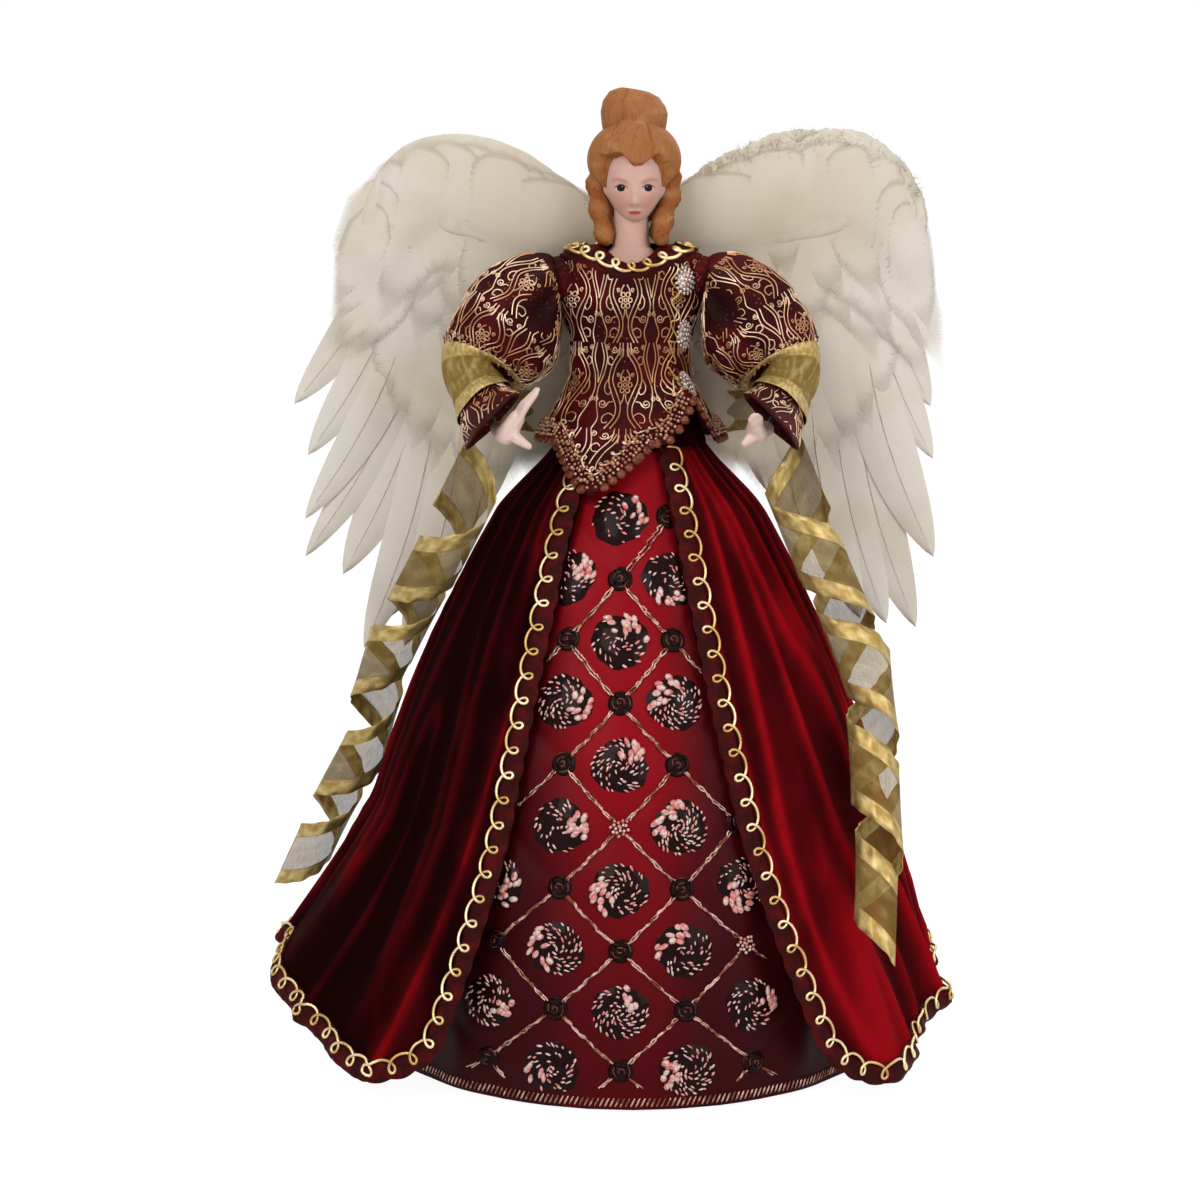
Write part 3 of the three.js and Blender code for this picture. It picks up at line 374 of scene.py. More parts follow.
class Shader:
    """The nodes of one finish, or of the world."""

    def __init__(self, name, owner=None):
        self.owner = owner or bpy.data.materials.new(name)
        self.owner.use_nodes = True
        self.tree = self.owner.node_tree
        self.tree.nodes.clear()

    def feed(self, socket, value):
        if isinstance(value, Value):
            self.tree.links.new(value.socket, socket)
        elif socket.type == "RGBA":
            socket.default_value = (*value, 1.0) if len(value) == 3 else value
        else:
            socket.default_value = value

    def node(self, kind, settings=None, inputs=None, out=0):
        made = self.tree.nodes.new(kind)
        for key, value in (settings or {}).items():
            setattr(made, key, value)
        for key, value in (inputs or {}).items():
            self.feed(made.inputs[key], value)
        return Value(self, made.outputs[out])

    def coordinates(self, kind="Object"):
        return self.node("ShaderNodeTexCoord", out=kind)

    def mapped(self, vector, scale=(1, 1, 1), location=(0, 0, 0)):
        inputs = {"Vector": vector, "Scale": scale, "Location": location}
        return self.node("ShaderNodeMapping", None, inputs)

    def millimetres(self, x=AXIS.x, y=0.0):
        """Object coordinates in millimetres about an upright line, as three values."""
        return self.split(self.mapped(self.coordinates(), (1000, 1000, 1000), (-x * 1000, -y * 1000, 0)))

    def split(self, vector):
        made = self.node("ShaderNodeSeparateXYZ", None, {0: vector})
        return [Value(self, socket) for socket in made.socket.node.outputs]

    def join(self, x, y, z=0.0):
        return self.node("ShaderNodeCombineXYZ", None, {0: x, 1: y, 2: z})

    def noise(self, vector, scale, detail=2.0):
        return self.node("ShaderNodeTexNoise", None, {"Vector": vector, "Scale": scale, "Detail": detail})

    def cells(self, vector, scale):
        return self.node("ShaderNodeTexVoronoi", None, {"Vector": vector, "Scale": scale}, out="Distance")

    def step(self, value, low, high):
        inputs = {"Value": value, "From Min": low, "From Max": high}
        return self.node("ShaderNodeMapRange", {"interpolation_type": "SMOOTHSTEP"}, inputs)

    def mix(self, first, second, share):
        return self.node("ShaderNodeMix", {"data_type": "RGBA"}, {0: share, 6: first, 7: second}, out=2)

    def bump(self, height, strength, depth):
        inputs = {"Strength": strength, "Distance": depth * MM, "Height": height}
        return self.node("ShaderNodeBump", None, inputs, out="Normal")

    def surface(self, **sockets):
        inputs = {key.replace("_", " "): value for key, value in sockets.items()}
        return self.node("ShaderNodeBsdfPrincipled", None, inputs)

    def seen(self):
        """1 for what the camera sees, also in metal and through sheer cloth, and 0 for light on things."""
        rays = self.node("ShaderNodeLightPath").socket.node.outputs
        kinds = ("Camera", "Glossy", "Transmission")
        camera, glossy, through = (Value(self, rays[f"Is {kind} Ray"]) for kind in kinds)
        return camera.maths("MAXIMUM", camera, glossy.maths("MAXIMUM", glossy, through))

    def show(self, shader, output="ShaderNodeOutputMaterial"):
        self.feed(self.tree.nodes.new(output).inputs[0], shader)
        return self.owner

    def finish(self, **sockets):
        return self.show(self.surface(**sockets))


def velvet_finish(colours):
    """Pile, nearly black with painted shade in the hollows of the folds and red with painted light on their
    crests, with more painted light on the right, and crushed patches at random.
    """
    s = Shader("velvet")
    p = s.coordinates()
    x = s.millimetres()[0]
    painted_shading = s.node("ShaderNodeAttribute", {"attribute_name": "painted_shading"}, out="Fac")
    crushed = s.noise(s.mapped(p, (1, 1, 0.5)), 46, 4) * 0.6
    drawn = s.noise(s.mapped(p, (1, 1, 0.15)), 60, 3) * 0.3
    # Painted light: the folds' painted light and shade, more painted light towards the right, and crushed
    # patches at random
    painted_light_and_crush = painted_shading * 0.8 + (crushed + drawn) + s.step(x, -40, 70) * 0.4 - 0.12
    pile = s.noise(p, 3200, 1)
    colour = s.mix(colours.velvet_painted_shade, colours.velvet, s.step(painted_light_and_crush, 0.5, 0.95))
    colour = s.mix(colour, colours.velvet_painted_highlight, s.step(painted_light_and_crush, 0.85, 1.45))
    return s.finish(
        Base_Color=colour, Roughness=0.9, Normal=s.bump(pile, 0.2, 0.3), Specular_IOR_Level=0.02,
        Sheen_Weight=0.12, Sheen_Roughness=0.3, Sheen_Tint=(*colours.velvet_sheen, 1.0))


def satin_finish(colours):
    """Satin with painted shade towards the sides and the foot of the panel."""
    s = Shader("satin")
    p = s.coordinates()
    x, _, z = s.millimetres(at(PANEL_X, 0, 0).x)
    # Painted shade beside the middle of the panel and towards its foot, with ragged edges
    beside = s.step(abs(x) + s.noise(p, 35, 2) * 18, 18, 48)
    low = 1 - s.step(z + s.noise(p, 22, 2) * 60, 60, 190)
    weave = s.noise(s.mapped(p, (1, 1, 4)), 1500, 1)
    shade = 1 - (1 - beside * 0.9) * (1 - low * 0.8)
    colour = s.mix(colours.satin, colours.satin_painted_shade, shade)
    return s.finish(
        Base_Color=colour, Roughness=s.step(weave, 0.2, 0.9) * 0.12 + 0.4, Normal=s.bump(weave, 0.15, 0.2),
        Specular_IOR_Level=0.05)


def brocade_finish(colours):
    """Ribbed ground with copper flecks, which are thickest beside the closing edge on the right, and painted
    shade, near jet, in a puff's deep fold and gathered pleats.
    """
    s = Shader("brocade")
    p = s.coordinates()
    x = s.millimetres()[0]
    bands = {"Vector": p, "Scale": 420.0, "Distortion": 0.6}
    rib = s.node("ShaderNodeTexWave", {"bands_direction": "Z"}, bands)
    ground = s.mix(colours.brocade, colours.brocade_light, s.step(s.noise(p, 55, 3), 0.4, 0.68))
    closing = s.step(x, 14, 20) * (1 - s.step(x, 27, 30))
    where = s.step(s.noise(p, 42, 1) + closing * 0.3, 0.52, 0.6)
    fleck = (1 - s.step(s.cells(p, 520), 0.16, 0.26)) * where
    # Painted shade: the puff's stored painted shading darkens the ground towards jet
    fold = s.node("ShaderNodeAttribute", {"attribute_name": "painted_shading"}, out="Fac")
    colour = s.mix(s.mix(ground, colours.copper, fleck), colours.jet, fold * 0.85)
    return s.finish(
        Base_Color=colour, Metallic=fleck * 0.7, Roughness=0.55 - fleck * 0.2,
        Normal=s.bump(rib * 0.5 + s.noise(p, 900, 2) + fleck, 0.3, 0.3), Specular_IOR_Level=0.05)


def metal_thread_finish(name, main, other, roughness, patch=60):
    s = Shader(name)
    p = s.coordinates()
    colour = s.mix(main, other, s.step(s.noise(p, patch, 2), 0.4, 0.62))
    thread = s.noise(p, 1400, 2)
    return s.finish(
        Base_Color=colour, Metallic=0.85, Roughness=thread * 0.2 + roughness,
        Normal=s.bump(thread, 0.35, 0.15))


def gimp_finish(colours):
    s = Shader("gimp")
    p = s.coordinates()
    thread = s.noise(p, 1100, 2)
    colour = s.mix(colours.gimp, colours.brocade_light, s.step(s.noise(p, 160, 2), 0.42, 0.7))
    return s.finish(
        Base_Color=colour, Roughness=0.6, Normal=s.bump(thread, 0.5, 0.3), Specular_IOR_Level=0.05)


def bead_finish(name, main, other, metallic, roughness=0.16, gloss=0.6):
    s = Shader(name)
    p = s.coordinates()
    colour = s.mix(main, other, s.step(s.noise(p, 420, 1), 0.35, 0.65))
    return s.finish(
        Base_Color=colour, Metallic=metallic, Roughness=s.noise(p, 800, 1) * 0.2 + roughness,
        Coat_Weight=gloss, Specular_IOR_Level=gloss * 0.5)


def card_finish(name, main, other, grain=700, roughness=0.85):
    s = Shader(name)
    p = s.coordinates()
    fibre = s.noise(s.mapped(p, (1, 1, 0.3)), grain, 3)
    colour = s.mix(main, other, s.step(fibre, 0.35, 0.7))
    return s.finish(Base_Color=colour, Roughness=roughness, Normal=s.bump(fibre, 0.3, 0.2))


def wire_finish(colours):
    s = Shader("wire")
    p = s.coordinates()
    drawn = s.noise(s.mapped(p, (6, 6, 0.4)), 400, 2)
    colour = s.mix(colours.silver, (0.25, 0.25, 0.27), drawn)
    return s.finish(Base_Color=colour, Metallic=0.9, Roughness=drawn * 0.2 + 0.3)


def hair_finish(colours):
    s = Shader("moulded_hair")
    p = s.coordinates()
    painted_shading = s.node("ShaderNodeAttribute", {"attribute_name": "painted_shading"}, out="Fac")
    strand = s.noise(s.mapped(p, (1, 1, 0.22)), 950, 3)
    patch = s.noise(p, 130, 3)
    colour = s.mix(colours.hair, colours.hair_light, s.step(patch, 0.5, 0.72) * 0.6)
    # Painted shade from the stored painted shading in the grooves, creases and partings, with darker strand
    # streaks at random
    painted_shade_and_streaks = s.step(strand, 0.45, 0.7) * 0.45 + s.step(painted_shading + strand * 0.3, 0.3, 1) * 0.7
    colour = s.mix(colour, colours.hair_painted_shade_and_streak, painted_shade_and_streaks)
    return s.finish(
        Base_Color=colour, Roughness=0.65, Normal=s.bump(strand, 0.7, 0.4), Specular_IOR_Level=0.1)


def wing_colour(s, colours, barb):
    """White at the tips and the outer edge, and creamier towards the body and in patches."""
    x = s.millimetres()[0]
    inner = 1 - s.step(abs(x), 45, 115)
    patch = s.step(s.noise(s.coordinates(), 24, 2), 0.42, 0.7)
    return s.mix(colours.feather, colours.feather_cream, barb * 0.2 + inner * 0.45 + patch * 0.3)


def feather_finish(name, colours, soft):
    """Barbs slant out from the quill and part at the edge of a vane. A soft plume thins out there."""
    s = Shader(name)
    u, v, _ = s.split(s.coordinates("UV"))
    out = abs(u - 0.5) * 2
    slant = v * 95 - out * 9
    barb = s.noise(s.join(slant, out * 1.2), 2.2, 2)
    fine = s.noise(s.join(slant * 4, out * 2), 2.5, 1)
    split = s.noise(s.join(slant * 0.22, out * 0.3), 2.6, 1)
    if soft:
        root = 1 - s.step(v, 0.0, 0.12)
        edge = out ** 3 * 0.7 + s.step(v, 0.6, 1) * 0.8 + s.step(split, 0.55, 0.75) * out * 0.2 + root
        alpha = 1 - s.step(edge + fine * 0.3, 0.35, 1.1)
    else:
        edge = out ** 3 * 0.3 + s.step(split, 0.58, 0.72) * out * 0.3 + s.step(v, 0.8, 1) * 0.05
        alpha = 1 - s.step(edge + fine * (0.45 - s.step(v, 0.6, 1) * 0.35), 0.8, 1.1)
    colour = wing_colour(s, colours, s.step(barb, 0.45, 0.8))
    ridge = (barb + fine * 0.5) * (1 - s.step(v, 0.45, 0.9))
    return s.finish(
        Base_Color=colour, Roughness=0.85, Alpha=alpha, Normal=s.bump(ridge, 0.12, 0.2),
        Specular_IOR_Level=0.1)


def down_finish(colours):
    s = Shader("down")
    tuft = s.noise(s.coordinates(), 260, 4)
    colour = wing_colour(s, colours, s.step(tuft, 0.4, 0.7))
    return s.finish(
        Base_Color=colour, Roughness=0.95, Normal=s.bump(tuft, 0.25, 0.8), Specular_IOR_Level=0.1)


def ribbon_finish(name, colours, ground):
    """Sheer ground between two woven metallic edges, by the ribbon's own map: u across and v along."""
    s = Shader(name)
    u, v, _ = s.split(s.coordinates("UV"))
    out = abs(u - 0.5) * 2
    edge = s.step(out, 0.52, 0.57)
    weft = s.noise(s.join(u * 6, v * 900), 1.0, 1)
    warp = s.noise(s.join(u * 260, v * 3), 1.0, 1)
    crinkle = s.noise(s.join(u * 9, v * 60), 1.0, 3)
    # Painted highlight: the metallic edges are lighter on the crests of the crinkle that also makes their
    # bump
    metallic = s.mix(colours.ribbon, colours.ribbon_highlight_and_streak, s.step(crinkle, 0.25, 0.85))
    # Lighter streaks at random in the sheer ground
    streak = s.noise(s.join(u * 5, v * 26), 1.0, 4)
    sheer = s.mix(colours.sheer, colours.ribbon_highlight_and_streak, s.step(streak, 0.42, 0.75) * 0.5)
    colour = s.mix(sheer, metallic, edge)
    veil = s.step(weft + warp, 0.7, 1.3) * 0.16 + ground
    return s.finish(
        Base_Color=colour, Metallic=edge * 0.5, Roughness=0.6 - edge * 0.15, Alpha=edge + (1 - edge) * veil,
        Normal=s.bump(crinkle * edge + weft * 0.2, 0.2, 0.4), Specular_IOR_Level=0.1)


def painted_bisque_finish(colours):
    """Bisque with the face painted on, placed about the middle of the head."""
    s = Shader("painted_bisque")
    middle = at(HEAD_X, 0, 0)
    p = s.coordinates()
    x, y, z = s.millimetres(middle.x, middle.y)
    front = 1 - s.step(y, -12.5, -9.5)

    def spot(cx, cz, rx, rz, soft, mirrored=True):
        dx = ((abs(x) if mirrored else x) - cx) / rx
        dz = (z - cz) / rz
        return (1 - s.step(dx * dx + dz * dz, 1 - soft, 1 + soft)) * front

    side = abs(x)
    arch = z - (367.7 + (side - 5.8) * 0.12 - (side - 6.4) * (side - 6.4) * 0.1)
    brow = (1 - s.step(abs(arch), 0.1, 1.2)) * spot(6.2, 367.6, 3.6, 3.0, 0.6)
    lid_arch = z - (365.6 - (side - 5.7) * (side - 5.7) * 0.17)
    lid = (1 - s.step(abs(lid_arch), 0.12, 0.5)) * spot(5.7, 365.0, 2.9, 2.2, 0.35)
    colour = s.mix(colours.skin, colours.skin_shade, s.step(s.noise(p, 120, 3), 0.4, 0.75) * 0.35)
    colour = s.mix(colour, colours.blush, spot(7.4, 358.2, 5.0, 4.2, 0.95) * 0.55)
    colour = s.mix(colour, colours.blush, spot(6.4, 365.8, 4.6, 2.6, 0.9) * 0.22)
    colour = s.mix(colour, (0.86, 0.84, 0.82), spot(5.7, 364.3, 2.4, 1.3, 0.3) * 0.3)
    colour = s.mix(colour, colours.eye, spot(5.65, 364.35, 1.75, 1.5, 0.25))
    colour = s.mix(colour, (0.004, 0.005, 0.01), spot(5.65, 364.3, 1.25, 1.25, 0.35))
    # Painted highlight: a small pale glint in each eye
    colour = s.mix(colour, (0.75, 0.8, 0.88), spot(5.1, 364.9, 0.3, 0.3, 0.4) * 0.2)
    colour = s.mix(colour, colours.brow, brow * 0.35)
    colour = s.mix(colour, (0.05, 0.02, 0.015), lid * 0.85)
    colour = s.mix(colour, colours.lips, spot(0, 354.15, 2.6, 0.95, 0.4, False) * 0.85)
    colour = s.mix(colour, (0.25, 0.03, 0.025), spot(0, 354.2, 2.5, 0.16, 0.6, False) * 0.7)
    colour = s.mix(colour, colours.blush, spot(1.3, 357.3, 0.7, 0.4, 0.6) * 0.8)
    return s.finish(
        Base_Color=colour, Roughness=0.5, Normal=s.bump(s.noise(p, 1600, 2), 0.08, 0.1),
        Specular_IOR_Level=0.12)


def cast_hand_finish(colours):
    s = Shader("cast_hand")
    p = s.coordinates()
    colour = s.mix(colours.hand, colours.blush, s.step(s.noise(p, 160, 3), 0.5, 0.8) * 0.3)
    return s.finish(Base_Color=colour, Roughness=0.42, Normal=s.bump(s.noise(p, 900, 2), 0.1, 0.1))


FINISHES = {}


def finish(name):
    """A finish by name, made the first time that it is asked for."""
    if name in FINISHES:
        return FINISHES[name]
    c = bpy.context.scene.angel_colours
    makers = {
        "velvet": lambda: velvet_finish(c),
        "satin": lambda: satin_finish(c),
        "brocade": lambda: brocade_finish(c),
        "gimp": lambda: gimp_finish(c),
        "gold": lambda: metal_thread_finish("gold_cord", c.gold, c.gold_light, 0.24),
        "scroll": lambda: metal_thread_finish("scroll_thread", c.scroll, c.scroll_light, 0.28),
        "thread": lambda: metal_thread_finish("lattice_thread", c.thread, c.copper, 0.34, 240),
        "copper": lambda: bead_finish("copper_bead", c.copper, c.scroll, 0.55),
        "petal": lambda: bead_finish("petal", c.petal, c.copper, 0.1, 0.3, 0.2),
        "silver": lambda: bead_finish("silver_bead", c.silver, c.pearl, 0.7, 0.22),
        "pearl": lambda: bead_finish("pearl_bead", c.pearl, c.pink, 0.1),
        "pink": lambda: bead_finish("pink_bead", c.pink, c.pearl, 0.05, 0.22),
        "jet": lambda: bead_finish("jet_bead", c.jet, (0.012, 0.003, 0.003), 0.0, 0.3, 0.06),
        "card": lambda: card_finish("card", c.card, (0.3, 0.22, 0.13)),
        "foam": lambda: card_finish("foam", (0.8, 0.78, 0.74), (0.7, 0.67, 0.62), 500),
        "wood": lambda: card_finish("dowel_wood", (0.5, 0.3, 0.13), (0.36, 0.2, 0.08), 300, 0.6),
        "felt": lambda: card_finish("felt", c.feather, c.feather_cream, 500, 0.95),
        "wire": lambda: wire_finish(c),
        "hair": lambda: hair_finish(c),
        "bisque": lambda: painted_bisque_finish(c),
        "hand": lambda: cast_hand_finish(c),
        "vane": lambda: feather_finish("feather_vane", c, False),
        "plume": lambda: feather_finish("soft_plume", c, True),
        "down": lambda: down_finish(c),
        "ribbon": lambda: ribbon_finish("ribbon", c, 0.4),
        "doubled ribbon": lambda: ribbon_finish("doubled_ribbon", c, 0.8),
    }
    FINISHES[name] = makers[name]()
    return FINISHES[name]


# Making pieces

def grid(columns, rows, surface, closed=False, painted_shading=None):
    """A sheet over surface(u, v), with painted_shading(u, v) stored at its points for the finishes that
    paint light and shade. It faces the way of v crossed with u.
    """
    bm = bmesh.new()
    bm.loops.layers.uv.new("UVMap")
    bmesh.ops.create_grid(bm, x_segments=columns, y_segments=rows, size=0.5, calc_uvs=True)
    layer = bm.verts.layers.float.new("painted_shading") if painted_shading else None
    for vert in bm.verts:
        u, v = vert.co.x + 0.5, 0.5 - vert.co.y
        if painted_shading:
            vert[layer] = painted_shading(u, v)
        vert.co = surface(u, v)
    if closed:
        bmesh.ops.remove_doubles(bm, verts=bm.verts, dist=1e-6)
    return bm


def cords(lines, radius, closed=False, sides=6):
    """Round cords along lines of places. A line's item may carry a share of the radius beside its place."""
    curve = bpy.data.curves.new("cords", "CURVE")
    curve.dimensions = "3D"
    curve.bevel_depth = radius * MM
    curve.bevel_resolution = (sides - 4) // 2
    curve.use_fill_caps = not closed
    for line in lines:
        spline = curve.splines.new("POLY")
        spline.points.add(len(line) - 1)
        spline.use_cyclic_u = closed
        for item, target in zip(line, spline.points):
            place, share = item if isinstance(item, tuple) else (item, 1.0)
            target.co = (*place, 1.0)
            target.radius = share
    holder = bpy.data.objects.new("cords", curve)
    mesh = bpy.data.meshes.new_from_object(holder)
    bpy.data.objects.remove(holder)
    bpy.data.curves.remove(curve)
    return mesh


def mesh_of(bm, name):
    """A mesh from a bmesh, which is freed."""
    mesh = bpy.data.meshes.new(name)
    bm.to_mesh(mesh)
    bm.free()
    return mesh


def take_in(whole, part):
    """Adds one bmesh to another and frees it."""
    mesh = mesh_of(part, "part")
    whole.from_mesh(mesh)
    bpy.data.meshes.remove(mesh)


def scatter(template, matrices):
    """Copies of a small mesh, one for each matrix."""
    bm = bmesh.new()
    for matrix in matrices:
        copy = template.copy()
        copy.transform(matrix)
        bm.from_mesh(copy)
        bpy.data.meshes.remove(copy)
    return bm


def bead_mesh():
    """A bead one unit across and one long, with few faces."""
    bm = bmesh.new()
    bmesh.ops.create_uvsphere(bm, u_segments=7, v_segments=5, radius=0.5)
    mesh = mesh_of(bm, "bead")
    mesh.shade_smooth()
    return mesh


def turned(place, along, up, size):
    """A matrix that lays a bead at a place. Size is its length, width and height, in millimetres."""
    along = along.normalized()
    across = up.cross(along).normalized()
    up = along.cross(across)
    turn = Matrix((along, across, up)).transposed().to_4x4()
    scale = Matrix.Diagonal((*(s * MM for s in size), 1.0))
    return Matrix.Translation(place) @ turn @ scale


def piece(name, mesh, material, body=None, replaces=(), thick=0.0):
    """Links a mesh or bmesh as a finished piece that rides on a body and stands for CAD nodes."""
    if isinstance(mesh, bmesh.types.BMesh):
        mesh = mesh_of(mesh, name)
    mesh.name = name
    mesh.shade_smooth()
    mesh.materials.clear()
    mesh.materials.append(finish(material))
    made = bpy.data.objects.new(name, mesh)
    bpy.context.scene.collection.objects.link(made)
    if thick:
        wall = made.modifiers.new("Thickness", "SOLIDIFY")
        wall.thickness, wall.offset = thick * MM, 0.0
    if replaces:
        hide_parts(*replaces)
    if body:
        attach(made, body)
    return made


class Lane:
    """A path on a surface with its own sideways and upward directions, read by the length along it."""

    def __init__(self, surface, path, closed=False):
        self.closed = closed
        self.places = [surface(u, v) for u, v in path]
        self.ups = [normal_of(surface, u, v) for u, v in path]
        if closed:
            self.places.append(self.places[0])
            self.ups.append(self.ups[0])
        self.lengths = [0.0]
        for a, b in zip(self.places, self.places[1:]):
            self.lengths.append(self.lengths[-1] + (b - a).length / MM)
        self.length = self.lengths[-1]

    def place(self, along, sideways=0.0, up=0.0):
        along = along % self.length if self.closed else clamp(along, 0.0, self.length)
        low, share = span_at(self.lengths, along)
        high = low + 1
        lift = self.ups[low].lerp(self.ups[high], share).normalized()
        before, after = self.places[max(low - 1, 0)], self.places[min(high + 1, len(self.places) - 1)]
        side = (after - before).cross(lift).normalized()
        return self.places[low].lerp(self.places[high], share) + (side * sideways + lift * up) * MM

    def direction(self, along):
        step = 0.5
        return (self.place(along + step) - self.place(along - step)).normalized()

    def up_at(self, along):
        return (self.place(along, 0, 1) - self.place(along)).normalized()


def looped_cord(lane, pitch, loop, swing, sideways, up):
    """Places of a cord that runs along a lane and throws a small loop to one side at each pitch."""
    turns = int(lane.length / pitch)
    pitch = lane.length / turns
    count = 18
    line = []
    for i in range(turns * count + (0 if lane.closed else 1)):
        t = i / count
        along = pitch * t - loop * math.sin(math.tau * t)
        lift = up + 0.45 * math.sin(math.tau * t)
        line.append(lane.place(along, sideways - swing * math.cos(math.tau * t), lift))
    return line


def gimp_band(lane, width, height, pitch, low):
    """A folded braid along a lane: its edges scallop and its crown ripples at each pitch."""
    columns = max(60, int(lane.length / 1.3))

    def surface(u, v):
        along = u * lane.length
        across = 2 * v - 1
        scallop = 0.8 + 0.24 * abs(math.sin(math.pi * along / pitch + 0.9 * across))
        ripple = 0.72 + 0.28 * math.sin(math.tau * along / pitch + 2.2 * across)
        crown = math.sqrt(max(0.0, 1 - across ** 2)) * ripple
        return lane.place(along, -across * width / 2 * scallop, low + height * crown)

    return grid(columns, 8, surface, lane.closed)


def scroll_tile(width, height):
    """Scrollwork in one tile of brocade, mirrored about its middle: stems, curls, sprigs and a flower."""
    lines = []

    def curve(points):
        line = Line([Vector((x, z, 0)) for x, z in points], 60)
        count = 8 * (len(points) - 1)
        lines.append([(p.x, p.y) for p in (line.point(i / count) for i in range(count + 1))][::2])

    def curl(x, z, size, turns, start, hand):
        steps = int(13 * turns)
        spiral = []
        for i in range(steps + 1):
            t = i / steps
            angle = start + hand * turns * math.tau * t
            radius = size * (1 - 0.82 * t)
            spiral.append((x + radius * math.cos(angle), z + radius * math.sin(angle)))
        lines.append(spiral)

    w, h = width / 36, height / 44
    for m in (-1, 1):
        def mirrored(points):
            return [(m * x * w, z * h) for x, z in points]
        curve(mirrored([(1.6, 0), (2, 6), (6.5, 12), (8.6, 19), (5, 26), (2.2, 32), (2.4, 38), (6, 44)]))
        curve(mirrored([(3.6, 0), (4.4, 5), (9.2, 11.5), (11.2, 19), (7.6, 27), (4.6, 33), (4.8, 38),
                        (8.7, 44)]))
        curve(mirrored([(14.5, 0), (12.6, 8), (14.8, 16), (17, 24), (15, 33), (12.8, 39), (14.5, 44)]))
        curve(mirrored([(16.6, 0), (14.8, 8), (16.9, 16), (18, 21)]))
        curve(mirrored([(11.2, 19), (13, 22), (12.2, 25.5), (9.6, 27), (8.6, 24.6), (10.4, 23.2)]))
        curve(mirrored([(9.2, 11.5), (11.6, 11), (12.2, 8.4), (10.2, 7.2), (8.8, 8.8)]))
        curve(mirrored([(4.8, 38), (7.6, 36.4), (10.4, 37.8), (10.2, 41), (7.8, 41)]))
        curve(mirrored([(2.2, 32), (0.9, 29.5), (0.5, 26.5)]))
        curve(mirrored([(6.4, 30.5), (9, 31), (10.6, 33.2)]))
        curve(mirrored([(1, 14), (2.8, 16.6), (3.4, 19.6)]))
        for x, z, size, turns, start, hand in (
                (12, 31.6, 2.6, 1.5, 3.3, -1), (7.6, 3.6, 2.1, 1.4, 0.4, 1), (16.2, 29.2, 1.6, 1.3, 4.4, 1),
                (12.6, 2.6, 1.5, 1.3, 5.2, -1), (5.2, 16.6, 1.3, 1.2, 1.2, 1)):
            curl(m * x * w, z * h, size * min(w, h), turns, start if m > 0 else math.pi - start, hand * m)
        for i in range(3):
            foot, head = (1.2 + 1.1 * i, 3.4 - 0.5 * i), (1.8 + 2.2 * i, 7.4 - 1.1 * i)
            sprig = [(lerp(foot[0], head[0], t), lerp(foot[1], head[1], t)) for t in (0, 0.5, 1)]
            lines.append(mirrored(sprig))
    for i in range(7):
        angle = i * math.tau / 6
        x, z = (0.0, 22.0) if i == 6 else (3.3 * math.cos(angle), 22 + 3.3 * math.sin(angle))
        ring = 1.1 * w if i == 6 else 1.35 * w
        lines.append([(w * x + ring * math.cos(t * math.pi / 5), h * z + ring * math.sin(t * math.pi / 5))
                      for t in range(11)])
    return lines


def scrollwork(width, height, tile_width, tile_height, mapper, radius):
    """Scrollwork tiled over width by height millimetres. The mapper gives a place, or nothing outside."""
    kept = []
    columns = math.ceil(width / tile_width)
    rows = math.ceil(height / tile_height)
    tile = scroll_tile(tile_width, tile_height)
    for column in range(columns):
        for row in range(rows):
            x0 = (column - (columns - 1) / 2) * tile_width
            z0 = row * tile_height
            for line in tile:
                run = []
                for x, z in line:
                    place = mapper(x + x0, z + z0)
                    if place is None:
                        kept.append(run)
                        run = []
                    else:
                        run.append(place)
                kept.append(run)
    return cords([run for run in kept if len(run) > 2], radius, sides=4)


# Values that a user would change

def colour_property(name, words, code):
    return FloatVectorProperty(
        name=name, description=words, subtype="COLOR", min=0, max=1, default=linear(code))


def length_property(name, words, metres, low):
    return FloatProperty(name=name, description=words, default=metres, min=low, unit="LENGTH")


